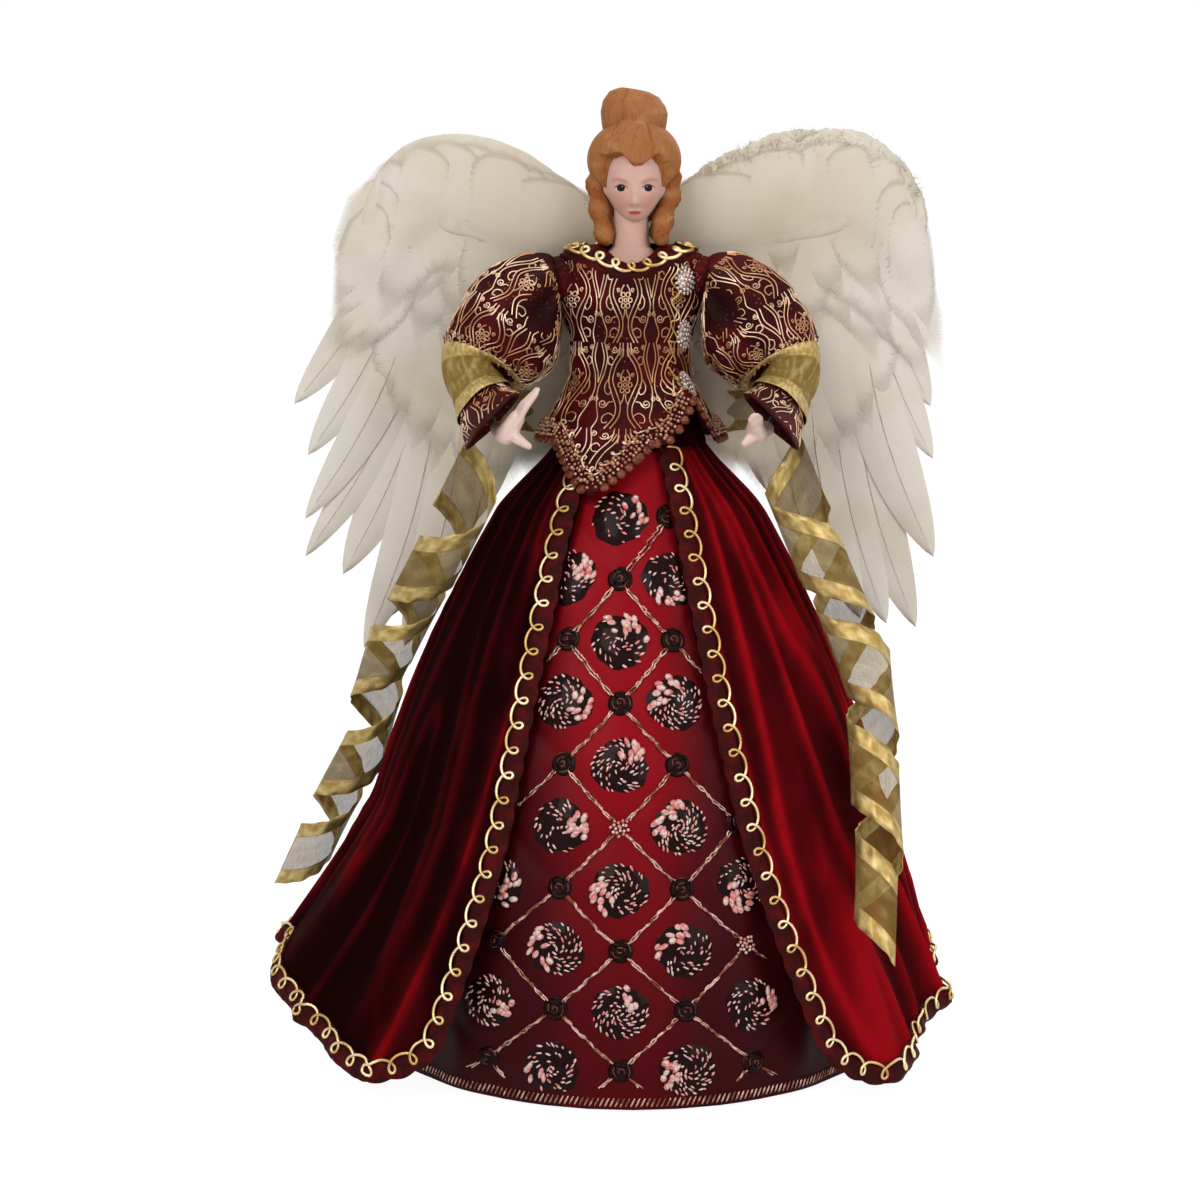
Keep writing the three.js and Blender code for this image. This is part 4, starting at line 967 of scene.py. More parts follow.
class AngelColours(bpy.types.PropertyGroup):
    """Colours of the finishes, as linear light."""

    velvet: colour_property("Velvet", "Overskirt pile", "3c0408")
    # Painted highlight of the velvet, on the crests of the folds
    velvet_painted_highlight: colour_property("Velvet, crest", "Pile on the crests of the folds", "8c0912")
    # Painted shade of the velvet, in the hollows of the folds
    velvet_painted_shade: colour_property("Velvet, hollow", "Pile in the hollows of the folds", "140102")
    velvet_sheen: colour_property("Velvet sheen", "Light caught by the tips of the pile", "b01420")
    satin: colour_property("Satin", "Front panel", "860914")
    # Painted shade of the satin, at the sides and the foot of the panel
    satin_painted_shade: colour_property("Satin, shade", "Darker patches of the front panel", "30050a")
    brocade: colour_property("Brocade", "Ground of the bodice and sleeves", "2c0608")
    brocade_light: colour_property("Brocade, lit", "Lighter patches of the ground", "4c0a0e")
    gimp: colour_property("Gimp", "Dark braid", "300a0a")
    gold: colour_property("Gold", "Metallic cord", "b08c50")
    gold_light: colour_property("Gold, light", "Worn places of the metallic cord", "e4cca0")
    copper: colour_property("Copper", "Copper beads and flecks", "74402a")
    petal: colour_property("Petal", "Brown petals under the peplum's beads", "5a2014")
    scroll: colour_property("Scroll", "Copper thread of the scrollwork", "a87854")
    scroll_light: colour_property("Scroll, light", "Pale places of the scrollwork", "e0c0a4")
    thread: colour_property("Lattice thread", "Threads of the panel's lattice", "bc988c")
    silver: colour_property("Silver", "Silver buttons and hem stitches", "a09890")
    pearl: colour_property("Pearl", "Pale beads of the medallions", "ccb4aa")
    pink: colour_property("Pink", "Pink beads of the medallions", "c06460")
    # Jet is also the colour of the painted shade in the brocade's folds
    jet: colour_property("Jet", "Dark ground of the medallions and the rosettes", "180606")
    skin: colour_property("Bisque", "Face, neck and shoulders", "c8a294")
    skin_shade: colour_property("Bisque, shade", "Warmer patches of the bisque", "b88a7a")
    blush: colour_property("Blush", "Cheeks and knuckles", "c07c6c")
    lips: colour_property("Lips", "Painted mouth", "a84038")
    eye: colour_property("Eye", "Painted iris", "060c1c")
    brow: colour_property("Brow", "Painted brow", "8a5636")
    hair: colour_property("Hair", "Moulded hair", "9a653c")
    # Painted shade of the hair in its grooves, creases and partings, and the colour of its darker strand
    # streaks
    hair_painted_shade_and_streak: colour_property("Hair, shade", "Grooves between the locks", "84481c")
    hair_light: colour_property("Hair, light", "Rubbed high places", "b08054")
    hand: colour_property("Hand", "Cast hands", "d6b8ac")
    feather: colour_property("Feather", "Feathers and down", "d6cfc4")
    feather_cream: colour_property("Feather, cream", "Base and shade of the feathers", "b8a98c")
    ribbon: colour_property("Ribbon edge", "Woven metallic edges", "96783a")
    # Painted highlight on the crests of the metallic edges' crinkle, and the colour of lighter streaks in
    # the sheer ground
    ribbon_highlight_and_streak: colour_property("Ribbon edge, light", "Crests of the metallic edges", "d2bc84")
    sheer: colour_property("Ribbon ground", "Sheer middle of the ribbon", "846830")
    card: colour_property("Card", "Cone and wing plate", "b49a70")


class AngelSizes(bpy.types.PropertyGroup):
    """Sizes and counts of the dressing."""

    cloth: length_property("Cloth", "Thickness of the dress cloth", 0.0008, 0.0002)
    velvet: length_property("Velvet", "Thickness of the lined velvet", 0.0012, 0.0002)
    braid: length_property("Braid", "Width of the overskirt's braid", 0.009, 0.002)
    loop: length_property("Loop pitch", "From one gold loop to the next", 0.0101, 0.004)
    medallion: length_property("Medallion", "Radius of a beaded medallion", 0.0108, 0.004)
    ribbon: length_property("Ribbon", "Width of the ribbon", 0.032, 0.01)
    strands: IntProperty(
        name="Down strands", description="Loose strands on the down of one wing", default=1400, min=0)


class AngelOperator(bpy.types.Operator):
    """Shared by the operators that make the pieces."""

    bl_options = {"REGISTER", "UNDO"}

    @property
    def sizes(self):
        return bpy.context.scene.angel_sizes


# Frame

class ANGEL_OT_frame(AngelOperator):
    """Gives the rigid inner parts their card, foam, wood and wire"""

    bl_idname = "angel.frame"
    bl_label = "Inner frame"

    def execute(self, context):
        kept = {"base_cone": "card", "body_form": "foam", "neck_dowel": "wood", "wing_plate": "card"}
        for side in SIDES:
            kept[f"{side}_arm_wire"] = kept[f"{side}_wing_wire"] = "wire"
        for name, material in kept.items():
            node = frame["nodes"][name]
            for slot in node.material_slots:
                slot.material = finish(material)
        return {"FINISHED"}


# Skirts

class ANGEL_OT_underskirt(AngelOperator):
    """Satin underskirt with a quilted front panel and an overlocked hem"""

    bl_idname = "angel.underskirt"
    bl_label = "Underskirt"

    def execute(self, context):
        cloth = grid(330, 110, lambda u, v: underskirt(math.tau * (u - 0.5), v), closed=True)
        made = piece(
            "underskirt_cloth", cloth, "satin", "figure", ["underskirt"], self.sizes.cloth / MM)
        bead = bead_mesh()
        stitches = []
        count = 330
        for i in range(count):
            angle = math.tau * i / count
            place = raised(underskirt, angle, 0.988, 0.7)
            lean = Vector((math.cos(angle), math.sin(angle), 0)) * 0.5 + Vector((0, 0, 1))
            stitches.append(turned(place, lean, normal_of(underskirt, angle, 0.98), (4.6, 0.9, 0.7)))
        hem = piece("underskirt_hem_stitches", scatter(bead, stitches), "thread", "figure")
        return {"FINISHED"}


class ANGEL_OT_panel_beading(AngelOperator):
    """Beaded medallions, a lattice of paired threads and ribbon rosettes on the front panel"""

    bl_idname = "angel.panel_beading"
    bl_label = "Panel beading"

    def execute(self, context):
        rng = random.Random(11)
        places = {"pearl": [], "pink": []}
        grounds, roses, rings, threads = [], [], [], []
        radius = self.sizes.medallion / MM
        for column in range(-3, 4):
            for row in range(0, 11):
                angle, share = panel_place(column, row)
                if not self.on_panel(angle, share, 4):
                    continue
                if (column + row) % 2 == 0:
                    grounds.append(self.ground(rng, angle, share, radius))
                    self.medallion(rng, places, angle, share, radius)
                    continue
                if (column, row) in ((0, 5), (2, 7)):
                    self.cluster(rng, places["pink"], angle, share)
                else:
                    roses.append(self.rose(angle, share))
                    rings.append(self.ring(rng, angle, share))
                for step in (-1, 1):
                    threads += self.threads(rng, column, row, step)
        bead = bead_mesh()
        for name, matrices in places.items():
            piece(f"panel_{name}_beads", scatter(bead, matrices), name, "figure")
        piece("panel_medallion_grounds", gathered(grounds), "jet", "figure")
        piece("panel_rosettes", gathered(roses), "jet", "figure")
        piece("panel_rosette_rings", cords(rings, 0.3), "petal", "figure")
        piece("panel_lattice_threads", cords(threads, 0.42), "thread", "figure")
        return {"FINISHED"}

    @staticmethod
    def on_panel(angle, share, spare):
        left = -opening(OPENING_LEFT, share) - math.radians(spare)
        right = opening(OPENING_RIGHT, share) + math.radians(spare)
        return left < angle < right and 0.04 < share < 0.965

    @staticmethod
    def near(angle, share, x, z, height):
        """A place x to the side of and z above a place of the panel, on its surface."""
        radius = underskirt_radius(lerp(SKIRT_TOP, HEM, share))
        fall = math.hypot(SKIRT_TOP - HEM, (underskirt_radius(HEM) - underskirt_radius(SKIRT_TOP)) * 1.2)
        return raised(underskirt, angle + x / radius, clamp(share - z / fall, 0.0, 1.0), height)

    def around(self, angle, share, turn, out, height):
        """A place that far out from a place of the panel, at that turn about it."""
        return self.near(angle, share, out * math.cos(turn), out * math.sin(turn), height)

    def ground(self, rng, angle, share, radius):
        """A low dark dome with a ragged edge."""
        slow, fast = rng.uniform(0, 6.3), rng.uniform(0, 6.3)

        def surface(u, v):
            turn = math.tau * u
            ragged = 1 + 0.06 * math.sin(3 * turn + slow) + 0.04 * math.sin(9 * turn + fast)
            out = radius * 1.03 * ragged * v
            return self.around(angle, share, turn, out, 0.35 + 1.1 * (1 - v ** 4))

        return grid(36, 4, surface, closed=True)

    def medallion(self, rng, places, angle, share, radius):
        """Small pale beads laid in whorls, with a heap of large pink ones on one flank."""
        flank, spread, density = rng.uniform(0, 6.3), rng.uniform(0.4, 1.3), rng.uniform(0.4, 0.8)
        middle = self.near(angle, share, 0, 0, 0)
        up = normal_of(underskirt, angle, share)
        for ring in range(1, 7):
            count = int(4.2 * ring) + 1
            for i in range(count):
                turn = math.tau * (i + 0.4 * ring + rng.uniform(-0.3, 0.3)) / count
                out = radius * (ring - 0.35 + rng.uniform(-0.25, 0.25)) / 6.0
                place = self.around(angle, share, turn, out, 1.75 - 0.11 * ring)
                spoke = place - middle
                along = spoke.normalized() * rng.uniform(0.3, 0.9) + up.cross(spoke).normalized() * 0.7
                if ring > 2 and math.cos(turn - flank) > math.cos(spread):
                    if rng.random() < 0.5:
                        size = rng.uniform(3.2, 5.2), rng.uniform(2.1, 3.1), rng.uniform(1.6, 2.4)
                        kind = "pink" if rng.random() < 0.7 else "pearl"
                        places[kind].append(turned(place, along, up, size))
                elif rng.random() < density:
                    size = rng.uniform(1.3, 3.2), rng.uniform(0.7, 1.15), rng.uniform(0.7, 1.0)
                    places["pearl"].append(turned(place, along, up, size))

    def cluster(self, rng, pink, angle, share):
        up = normal_of(underskirt, angle, share)
        for i in range(19):
            turn, out = i * 2.4, 0.95 * math.sqrt(i)
            place = self.around(angle, share, turn, out, 1.6 - 0.08 * out)
            pink.append(turned(place, Vector((rng.random(), 0, rng.random())), up, (1.5, 1.4, 1.4)))

    def rose(self, angle, share):
        """A dark ribbon rolled into a low dome with a spiral fold."""
        def surface(u, v):
            turn, out = math.tau * u, 5.2 * v
            fold = 0.4 * math.sin(math.tau * (2.3 * v - u)) * smooth(v, 0.1, 0.35)
            return self.around(angle, share, turn, out, 0.3 + 2.2 * (1 - v ** 3) + fold)
        return grid(30, 14, surface, closed=True)

    def ring(self, rng, angle, share):
        """A fold that winds in to the middle of a rosette."""
        start = rng.uniform(0, 6.3)
        line = []
        for i in range(40):
            turn, out = start + 4.2 * math.pi * i / 39, 4.6 - 4.0 * i / 39
            line.append(self.around(angle, share, turn, out, 2.6 - 0.1 * out ** 2))
        return line

    def threads(self, rng, column, row, step):
        """Two threads side by side from one lattice crossing to the next one down. They waver a little."""
        start, end = panel_place(column, row), panel_place(column + step, row + 1)
        runs = []
        for string in (-1, 1):
            phase, run = rng.uniform(0, 6.3), []
            for i in range(37):
                t = lerp(0.12, 0.88, i / 36)
                angle, share = lerp(start[0], end[0], t), lerp(start[1], end[1], t)
                if self.on_panel(angle, share, 2):
                    waver = 0.3 * math.sin(21 * t + phase) + 0.16 * math.sin(55 * t + 2 * phase)
                    height = 0.85 + 0.25 * math.sin(60 * t + phase)
                    run.append(self.near(angle, share, 0.8 * string + waver, 0, height))
                elif len(run) < 3:
                    run = []
            if len(run) > 2:
                runs.append(run)
        return runs


class ANGEL_OT_overskirt(AngelOperator):
    """Velvet overskirt, open at the front and gathered at the waist"""

    bl_idname = "angel.overskirt"
    bl_label = "Overskirt"

    def execute(self, context):
        # The velvet's painted light and shade follows its folds
        cloth = grid(360, 100, overskirt, painted_shading=velvet_painted_light)
        piece("overskirt_cloth", cloth, "velvet", "figure", ["overskirt"], self.sizes.velvet / MM)
        piece("overskirt_waist", grid(240, 16, self.waist, closed=True), "velvet", "figure")
        return {"FINISHED"}

    @staticmethod
    def waist(u, v):
        """Gathered top of the velvet, which shows in the notch of the bodice."""
        angle = math.tau * (u - 0.5)
        z = lerp(284, SKIRT_TOP - 1, v)
        close = oval(body_section(z), angle) + 0.45
        return polar(angle, close + (2.6 + 0.5 * math.sin(70 * angle)) * smooth(v, 0.25, 1), z)


class ANGEL_OT_overskirt_braid(AngelOperator):
    """Dark gimp down both front edges and round the hem, with a gold cord that throws loops on it"""

    bl_idname = "angel.overskirt_braid"
    bl_label = "Overskirt braid"

    def execute(self, context):
        width = self.sizes.braid / MM
        lane = Lane(overskirt, self.path(width * 0.5))
        low = 0.9
        gimp = gimp_band(lane, width, 1.5, self.sizes.loop / MM, low)
        made = piece("overskirt_gimp", gimp, "gimp", "figure", ["overskirt_braid"])
        cord = looped_cord(lane, self.sizes.loop / MM, 3.4, -3.1, -width * 0.2, low + 1.5)
        gold = piece("overskirt_gold_loops", cords([cord], 0.62, sides=8), "gold", "figure")
        return {"FINISHED"}

    @staticmethod
    def path(inset):
        """Down the right edge, round the hem and up the left edge, with the corners rounded off."""
        around = math.tau * 127 * 0.8
        side, foot = inset / around, inset / (SKIRT_TOP - HEM)
        legs = []
        for i in range(150):
            share = i / 150 * (1 - foot)
            radius = overskirt_radius(0.5, lerp(SKIRT_TOP, HEM, share))
            legs.append((inset / (math.tau * radius * 0.85), share))
        hem = [(lerp(side, 1 - side, i / 520), 1 - foot) for i in range(521)]
        path = [*legs, *hem, *((1 - u, v) for u, v in reversed(legs))]
        for _ in range(3):
            middle = [((a[0] + 2 * b[0] + c[0]) / 4, (a[1] + 2 * b[1] + c[1]) / 4)
                      for a, b, c in zip(path, path[1:], path[2:])]
            path = [path[0], *middle, path[-1]]
        return path


# Bodice

class ANGEL_OT_bodice(AngelOperator):
    """Brocade bodice with its peplum and laid scrollwork"""

    bl_idname = "angel.bodice"
    bl_label = "Bodice"

    def execute(self, context):
        cloth = grid(180, 90, lambda u, v: bodice(math.tau * (u - 0.5), v), closed=True)
        piece("bodice_cloth", cloth, "brocade", "figure", ["bodice"], self.sizes.cloth / MM)

        def mapper(x, z):
            angle = (x - 3) / 25
            share = bodice_share(angle, 336 - z)
            if abs(angle) > math.pi or not SHOULDER_SHARE + 0.02 < share < 0.93:
                return None
            return raised(bodice, angle, share, 0.55)

        threads = scrollwork(158, 104, 26, 35, mapper, 0.3)
        piece("bodice_scrollwork", threads, "scroll", "figure")
        armholes = gathered([self.armhole(side) for side in SIDES.values()])
        piece("armhole_gathers", armholes, "brocade", "figure")
        return {"FINISHED"}

    @staticmethod
    def armhole(side):
        """Gathers between the bodice and a puff."""
        line = arm_line(side)

        def surface(u, v):
            angle = math.tau * u
            radius = 8.6 + 2.4 * math.sin(math.pi * clamp(v)) + 0.5 * math.sin(16 * angle)
            return line.ring(lerp(0.06, 0.17, v), angle, radius)

        return grid(120, 12, surface, closed=True)


class ANGEL_OT_bodice_trims(AngelOperator):
    """Beaded trim round the peplum and gold loops round the neck"""

    bl_idname = "angel.bodice_trims"
    bl_label = "Bodice trims"

    def execute(self, context):
        rng = random.Random(5)
        turns = [math.tau * i / 260 for i in range(260)]
        hem = Lane(bodice, [(angle, 0.955) for angle in turns], closed=True)
        gimp = gimp_band(hem, 8.5, 1.2, 6, 0.7)
        band = piece("peplum_braid", gimp, "gimp", "figure", ["bodice_hem_trim"])
        bead = bead_mesh()
        places = {"copper": [], "pearl": [], "petal": []}
        count = int(hem.length / 2.1)
        for i in range(count):
            along = hem.length * i / count
            up, ahead = hem.up_at(along), hem.direction(along)
            for sideways in (-2.6, -0.9, 0.8, 2.5):
                place = hem.place(along + rng.uniform(-0.5, 0.5), sideways + rng.uniform(-0.4, 0.4), 2.1)
                kind, small, large = ("pearl", 0.9, 1.4) if rng.random() < 0.2 else ("copper", 1.4, 2.2)
                size = rng.uniform(small, large)
                places[kind].append(turned(place, ahead, up, (size, size, size)))
            if i % 2 == 0:
                places["petal"].append(turned(hem.place(along, 4.4, 0.9), ahead, up, (4.4, 4.6, 2.4)))
        beads = [piece(f"peplum_{kind}s", scatter(bead, matrices), kind, "figure")
                 for kind, matrices in places.items()]
        cord = looped_cord(hem, 6.8, 1.9, 1.5, -3.4, 2.0)
        loops = piece("peplum_cord", cords([cord], 0.42, closed=True), "scroll", "figure")

        path = []
        for i in range(91):
            turn = 50 + 4.5 * math.sin(i * 0.42) - 8 * (i / 90) ** 3
            path.append((math.radians(turn), lerp(0.17, 0.93, i / 90)))
        closing = Lane(bodice, path)
        edge = [closing.place(closing.length * i / 180, 0.0, 1.0) for i in range(181)]
        zigzag = piece("closing_edge_cord", cords([edge], 0.42), "gold", "figure")

        neck = Lane(bodice, [(angle, 0.125) for angle in turns], closed=True)
        gimp = gimp_band(neck, 7.5, 1.3, 5, 0.6)
        collar = piece("neck_braid", gimp, "gimp", "figure", ["neck_trim"])
        cord = looped_cord(neck, 7.0, 2.9, 2.7, 0.0, 1.9)
        rings = piece("neck_gold_loops", cords([cord], 0.8, closed=True, sides=8), "gold", "figure")
        return {"FINISHED"}


class ANGEL_OT_buttons(AngelOperator):
    """Silver leaf-shaped buttons of close-set beads down the closing edge"""

    bl_idname = "angel.buttons"
    bl_label = "Buttons"

    def execute(self, context):
        bead = bead_mesh()
        angle = math.radians(62)
        for name, down in (("top", 0.13), ("middle", 0.43), ("bottom", 0.72)):
            share = lerp(SHOULDER_SHARE, 1, down)
            middle = raised(bodice, angle, share, 1.0)
            up = normal_of(bodice, angle, share)
            tall = (Vector((0, 0, 1)) - up * up.z).normalized()
            wide = up.cross(tall)
            beads = [turned(middle, tall, up, (10, 8, 2.4))]
            for ring, (count, out) in enumerate(((1, 0.0), (6, 1.9), (11, 3.5), (16, 4.8))):
                for i in range(count):
                    turn = math.tau * (i + 0.5 * ring) / count
                    spoke = tall * math.cos(turn) * 1.12 + wide * math.sin(turn) * 0.9
                    place = middle + (spoke * out + up * (1.5 - 0.05 * out ** 2)) * MM
                    along = spoke if ring else tall
                    beads.append(turned(place, along, up, (2.0, 1.5, 1.3)))
            button = f"silver_button_{name}"
            piece(f"{button}_beads", scatter(bead, beads), "silver", "figure", [button])
        return {"FINISHED"}


# Head

HEAD_X, HEAD_Y, CHIN, HEAD_HEIGHT = 1.3, -2.0, 350.0, 34.0
# Forms of the face: how far each stands out, its turn from the middle and its spread, and its height and
# spread up the head
FACE = (
    (2.3, 0, 0.13, 0.245, 0.05),  # tip of the nose
    (1.2, 0, 0.1, 0.35, 0.1),  # bridge of the nose
    (0.55, 0.15, 0.07, 0.225, 0.03),  # nostrils
    (1.3, 0, 0.42, 0.05, 0.08),  # chin
    (0.75, 0, 0.2, 0.135, 0.022),  # upper lip
    (0.6, 0, 0.16, 0.1, 0.02),  # lower lip
    (-0.5, 0, 0.3, 0.118, 0.008),  # between the lips
    (-1.1, 0.4, 0.17, 0.43, 0.055),  # eye sockets
    (0.75, 0.41, 0.12, 0.42, 0.035),  # eyes
    (0.9, 1.4, 0.12, 0.38, 0.07),  # ears
    (0.6, 0.55, 0.25, 0.25, 0.1),  # cheeks
    (0.4, 0.4, 0.25, 0.53, 0.04),  # brows
)


def head_place(angle, up):
    """A place on the head. Up is 0 at the chin and 1 at the crown."""
    turn = math.atan2(math.sin(angle), math.cos(angle))
    side = abs(turn)
    dome = math.sqrt(max(0.0, 1 - (2 * up - 1) ** 2)) ** 0.8
    jaw = lerp(0.74, 1, smooth(up, 0, 0.46))
    radius = oval((12.6 * jaw, 14), turn) * max(dome, 0.01)
    for out, aside, wide, high, tall in FACE:
        radius += out * hump(side, aside, wide) * hump(up, high, tall)
    return polar(turn, radius, CHIN + up * HEAD_HEIGHT) + Vector((HEAD_X, HEAD_Y, 0)) * MM


class ANGEL_OT_head(AngelOperator):
    """Painted bisque head on its neck and shoulder plate"""

    bl_idname = "angel.head"
    bl_label = "Head"

    def execute(self, context):
        def rise(v):
            return 0.5 - 0.5 * math.cos(math.pi * (1 - v))

        head = grid(128, 96, lambda u, v: head_place(math.tau * (u - 0.5), rise(v)), closed=True)
        levels = [(331.4, 20, 10.5), (333, 18.4, 10.2), (335.5, 12.5, 9), (340, 8, 7.8), (346, 7.2, 7.2),
                  (352, 7.2, 7.2), (360, 7, 7)]

        def neck(u, v):
            place = (1 - v) * (len(levels) - 1)
            i = min(int(place), len(levels) - 2)
            section = [lerp(a, b, smooth(place - i, 0, 1)) for a, b in zip(levels[i], levels[i + 1])]
            return polar(math.tau * (u - 0.5), oval(section[1:], math.tau * (u - 0.5)), section[0])

        take_in(head, grid(64, 36, neck, closed=True))
        piece("painted_head", head, "bisque", "figure", ["head_bust"])
        return {"FINISHED"}


class ANGEL_OT_hair(AngelOperator):
    """Moulded hair: a cap of swept locks, a bun, a fringe and hanging curls"""

    bl_idname = "angel.hair"
    bl_label = "Hair"

    # From the top of the bun to its foot: the share of its radius, and the height
    BUN = [(0, 406), (0.45, 405.7), (0.74, 404.2), (0.93, 400.5), (1, 396), (0.97, 391), (0.92, 387),
           (0.93, 384)]

    def execute(self, context):
        cap = grid(220, 60, self.cap, closed=True, painted_shading=self.cap_painted_shade)
        for part in (grid(120, 40, self.bun, closed=True, painted_shading=self.bun_painted_shade), *self.locks()):
            take_in(cap, part)
        piece("moulded_hair", cap, "hair", "figure", ["hair"])
        return {"FINISHED"}

    @staticmethod
    def cap(u, v):
        """Swept up from the hairline at v 1 to the foot of the bun at v 0, with a fringe in the middle."""
        angle = math.tau * (u - 0.5)
        side = abs(angle)
        low = lerp(3, -62, smooth(side, 0.84, 1.3)) - 14 * (1 - smooth(abs(angle - 0.1), 0.05, 0.42))
        low += 1.5 * math.sin(11 * angle) * (1 - smooth(side, 0.7, 0.9)) - 10 * smooth(angle, 0.55, 0.85)
        low = lerp(low, -76, smooth(side, 1.7, 2.4))
        rise = math.radians(lerp(62, low, v))
        parting = hump(angle, 0.42, 0.05) + 0.7 * hump(angle, -0.6, 0.07)
        strand = 0.006 * math.sin(30 * angle + 6 * v + 3 * math.sin(2 * angle)) * smooth(v, 0, 0.2)
        roll = 0.02 * hump(side, 1.0, 0.35) * hump(v, 0.55, 0.3)
        grow = 1 + strand + roll - 0.035 * parting * smooth(v, 0, 0.3)
        tall = 16.5 + 4.6 * hump(angle, 0, 0.8) * (rise > 0)
        place = at(HEAD_X + 19.6 * grow * math.cos(rise) * math.sin(angle),
                   2 - 18.6 * grow * math.cos(rise) * math.cos(angle), 376 + tall * grow * math.sin(rise))
        tucked = head_place(angle, clamp((place.z / MM - CHIN) / HEAD_HEIGHT))
        return place.lerp(tucked, 0.97 * smooth(v, 0.91, 1) ** 1.2 * (1 - smooth(side, 1.5, 2)))

    @staticmethod
    def cap_painted_shade(u, v):
        """Painted shade: darker at the hairline, in the partings and at the foot of the bun."""
        angle = math.tau * (u - 0.5)
        parting = hump(angle, 0.42, 0.05) + 0.7 * hump(angle, -0.6, 0.07)
        return clamp(0.65 * smooth(v, 0.88, 1) + 0.6 * parting + 0.5 * (1 - smooth(v, 0, 0.1)))

    # Painted shade in the bun's crease and towards its foot
    @staticmethod
    def bun_painted_shade(u, v):
        return clamp(0.5 * hump(u, 0.06, 0.03) + 0.7 * smooth(v, 0.62, 0.95))

    def bun(self, u, v):
        """A rolled bun whose top slopes down to one side, with a crease where it is tucked in."""
        angle = -math.tau * u
        place = v * (len(self.BUN) - 1)
        i = min(int(place), len(self.BUN) - 2)
        out, z = (lerp(a, b, place - i) for a, b in zip(self.BUN[i], self.BUN[i + 1]))
        radius = out * 14.2
        strand = 1 + 0.008 * math.sin(17 * angle + 5 * v) + 0.02 * math.sin(2 * angle + 1)
        crease = 1 - 0.07 * hump(angle, -math.tau * 0.06, 0.09) * (v > 0.2)
        x = radius * strand * crease * math.sin(angle)
        slope = 0.17 * max(0.0, x + 5) * smooth(z, 390, 404)
        return at(HEAD_X + x, 3 - 0.88 * radius * strand * crease * math.cos(angle), z - slope)

    @staticmethod
    def nape(u, v):
        angle, rise = -math.tau * u, math.pi * (0.5 - v)
        x, y = 15.4 * math.cos(rise) * math.sin(angle), -11 * math.cos(rise) * math.cos(angle)
        return at(HEAD_X + x, 7 + y, 363 + 14 * math.sin(rise))

    @staticmethod
    def curl(path, hand):
        """One thick hanging curl, twisted so that its outline waves."""
        line = Line([at(HEAD_X + x, y, z) for x, y, z in path])

        def surface(u, v):
            angle = math.tau * u
            twist = hand * math.tau * 1.6 * v
            lobes = 1 + 0.17 * math.cos(2 * (angle - twist)) + 0.04 * math.cos(9 * (angle - twist))
            tip = math.sqrt(max(0.0, 1 - max(0.0, (v - 0.86) / 0.14) ** 2))
            ends = tip * (0.55 + 0.45 * smooth(v, 0, 0.2))
            return line.ring(v, angle, lerp(4.6, 3.6, v) * lobes * ends)

        # Painted shade in the grooves of the twist
        def painted_shading(u, v):
            return 0.9 * wave(2 * (math.tau * u - hand * math.tau * 1.6 * v) + math.pi)

        return grid(40, 70, surface, closed=True, painted_shading=painted_shading)

    def locks(self):
        """Hair at the nape and, at each side, a front curl with a smaller one behind it."""
        # The nape's hair has an even painted shade
        yield grid(40, 24, self.nape, closed=True, painted_shading=lambda u, v: 0.5)
        yield self.curl([(-15.4, 1, 374), (-15.2, 0, 362), (-13.8, -3, 351), (-11.4, -6, 340.5)], 1)
        yield self.curl([(15.6, 1, 374), (15.0, 0, 362), (12.2, -4, 351), (10.6, -7, 340.5)], -1)
        yield self.curl([(-12.6, 4, 370), (-12.6, 3, 360), (-11.4, 2, 350), (-10.6, 1, 341.5)], -1)
        yield self.curl([(12.8, 4, 370), (12.4, 3, 360), (10.8, 2, 350), (10.0, 1, 341.5)], 1)


# Arms

WRIST = (54, -47, 267)
ARM = [(17, 0, 325), (23.1, 0, 325), (29.2, 0, 325), (48.34, -6, 308.62), (64, -15, 286),
       (59.5, -32.6, 274.6), WRIST]
ELBOW, CUFF = 0.62, 0.93


def arm_line(side):
    return Line([at(side * x, y, z) for x, y, z in ARM])


def slanted(line, side, share, angle, radius, opened):
    """A place on cloth about the forearm. As it opens, its rings turn to face as the cuff's mouth does."""
    mouth = Vector((-side * 0.74, -0.09, -0.66))
    place, tangent = line.ring(share, angle, radius), line.tangent(share)
    return place - tangent * ((place - line.point(share)).dot(mouth) / tangent.dot(mouth) * opened)


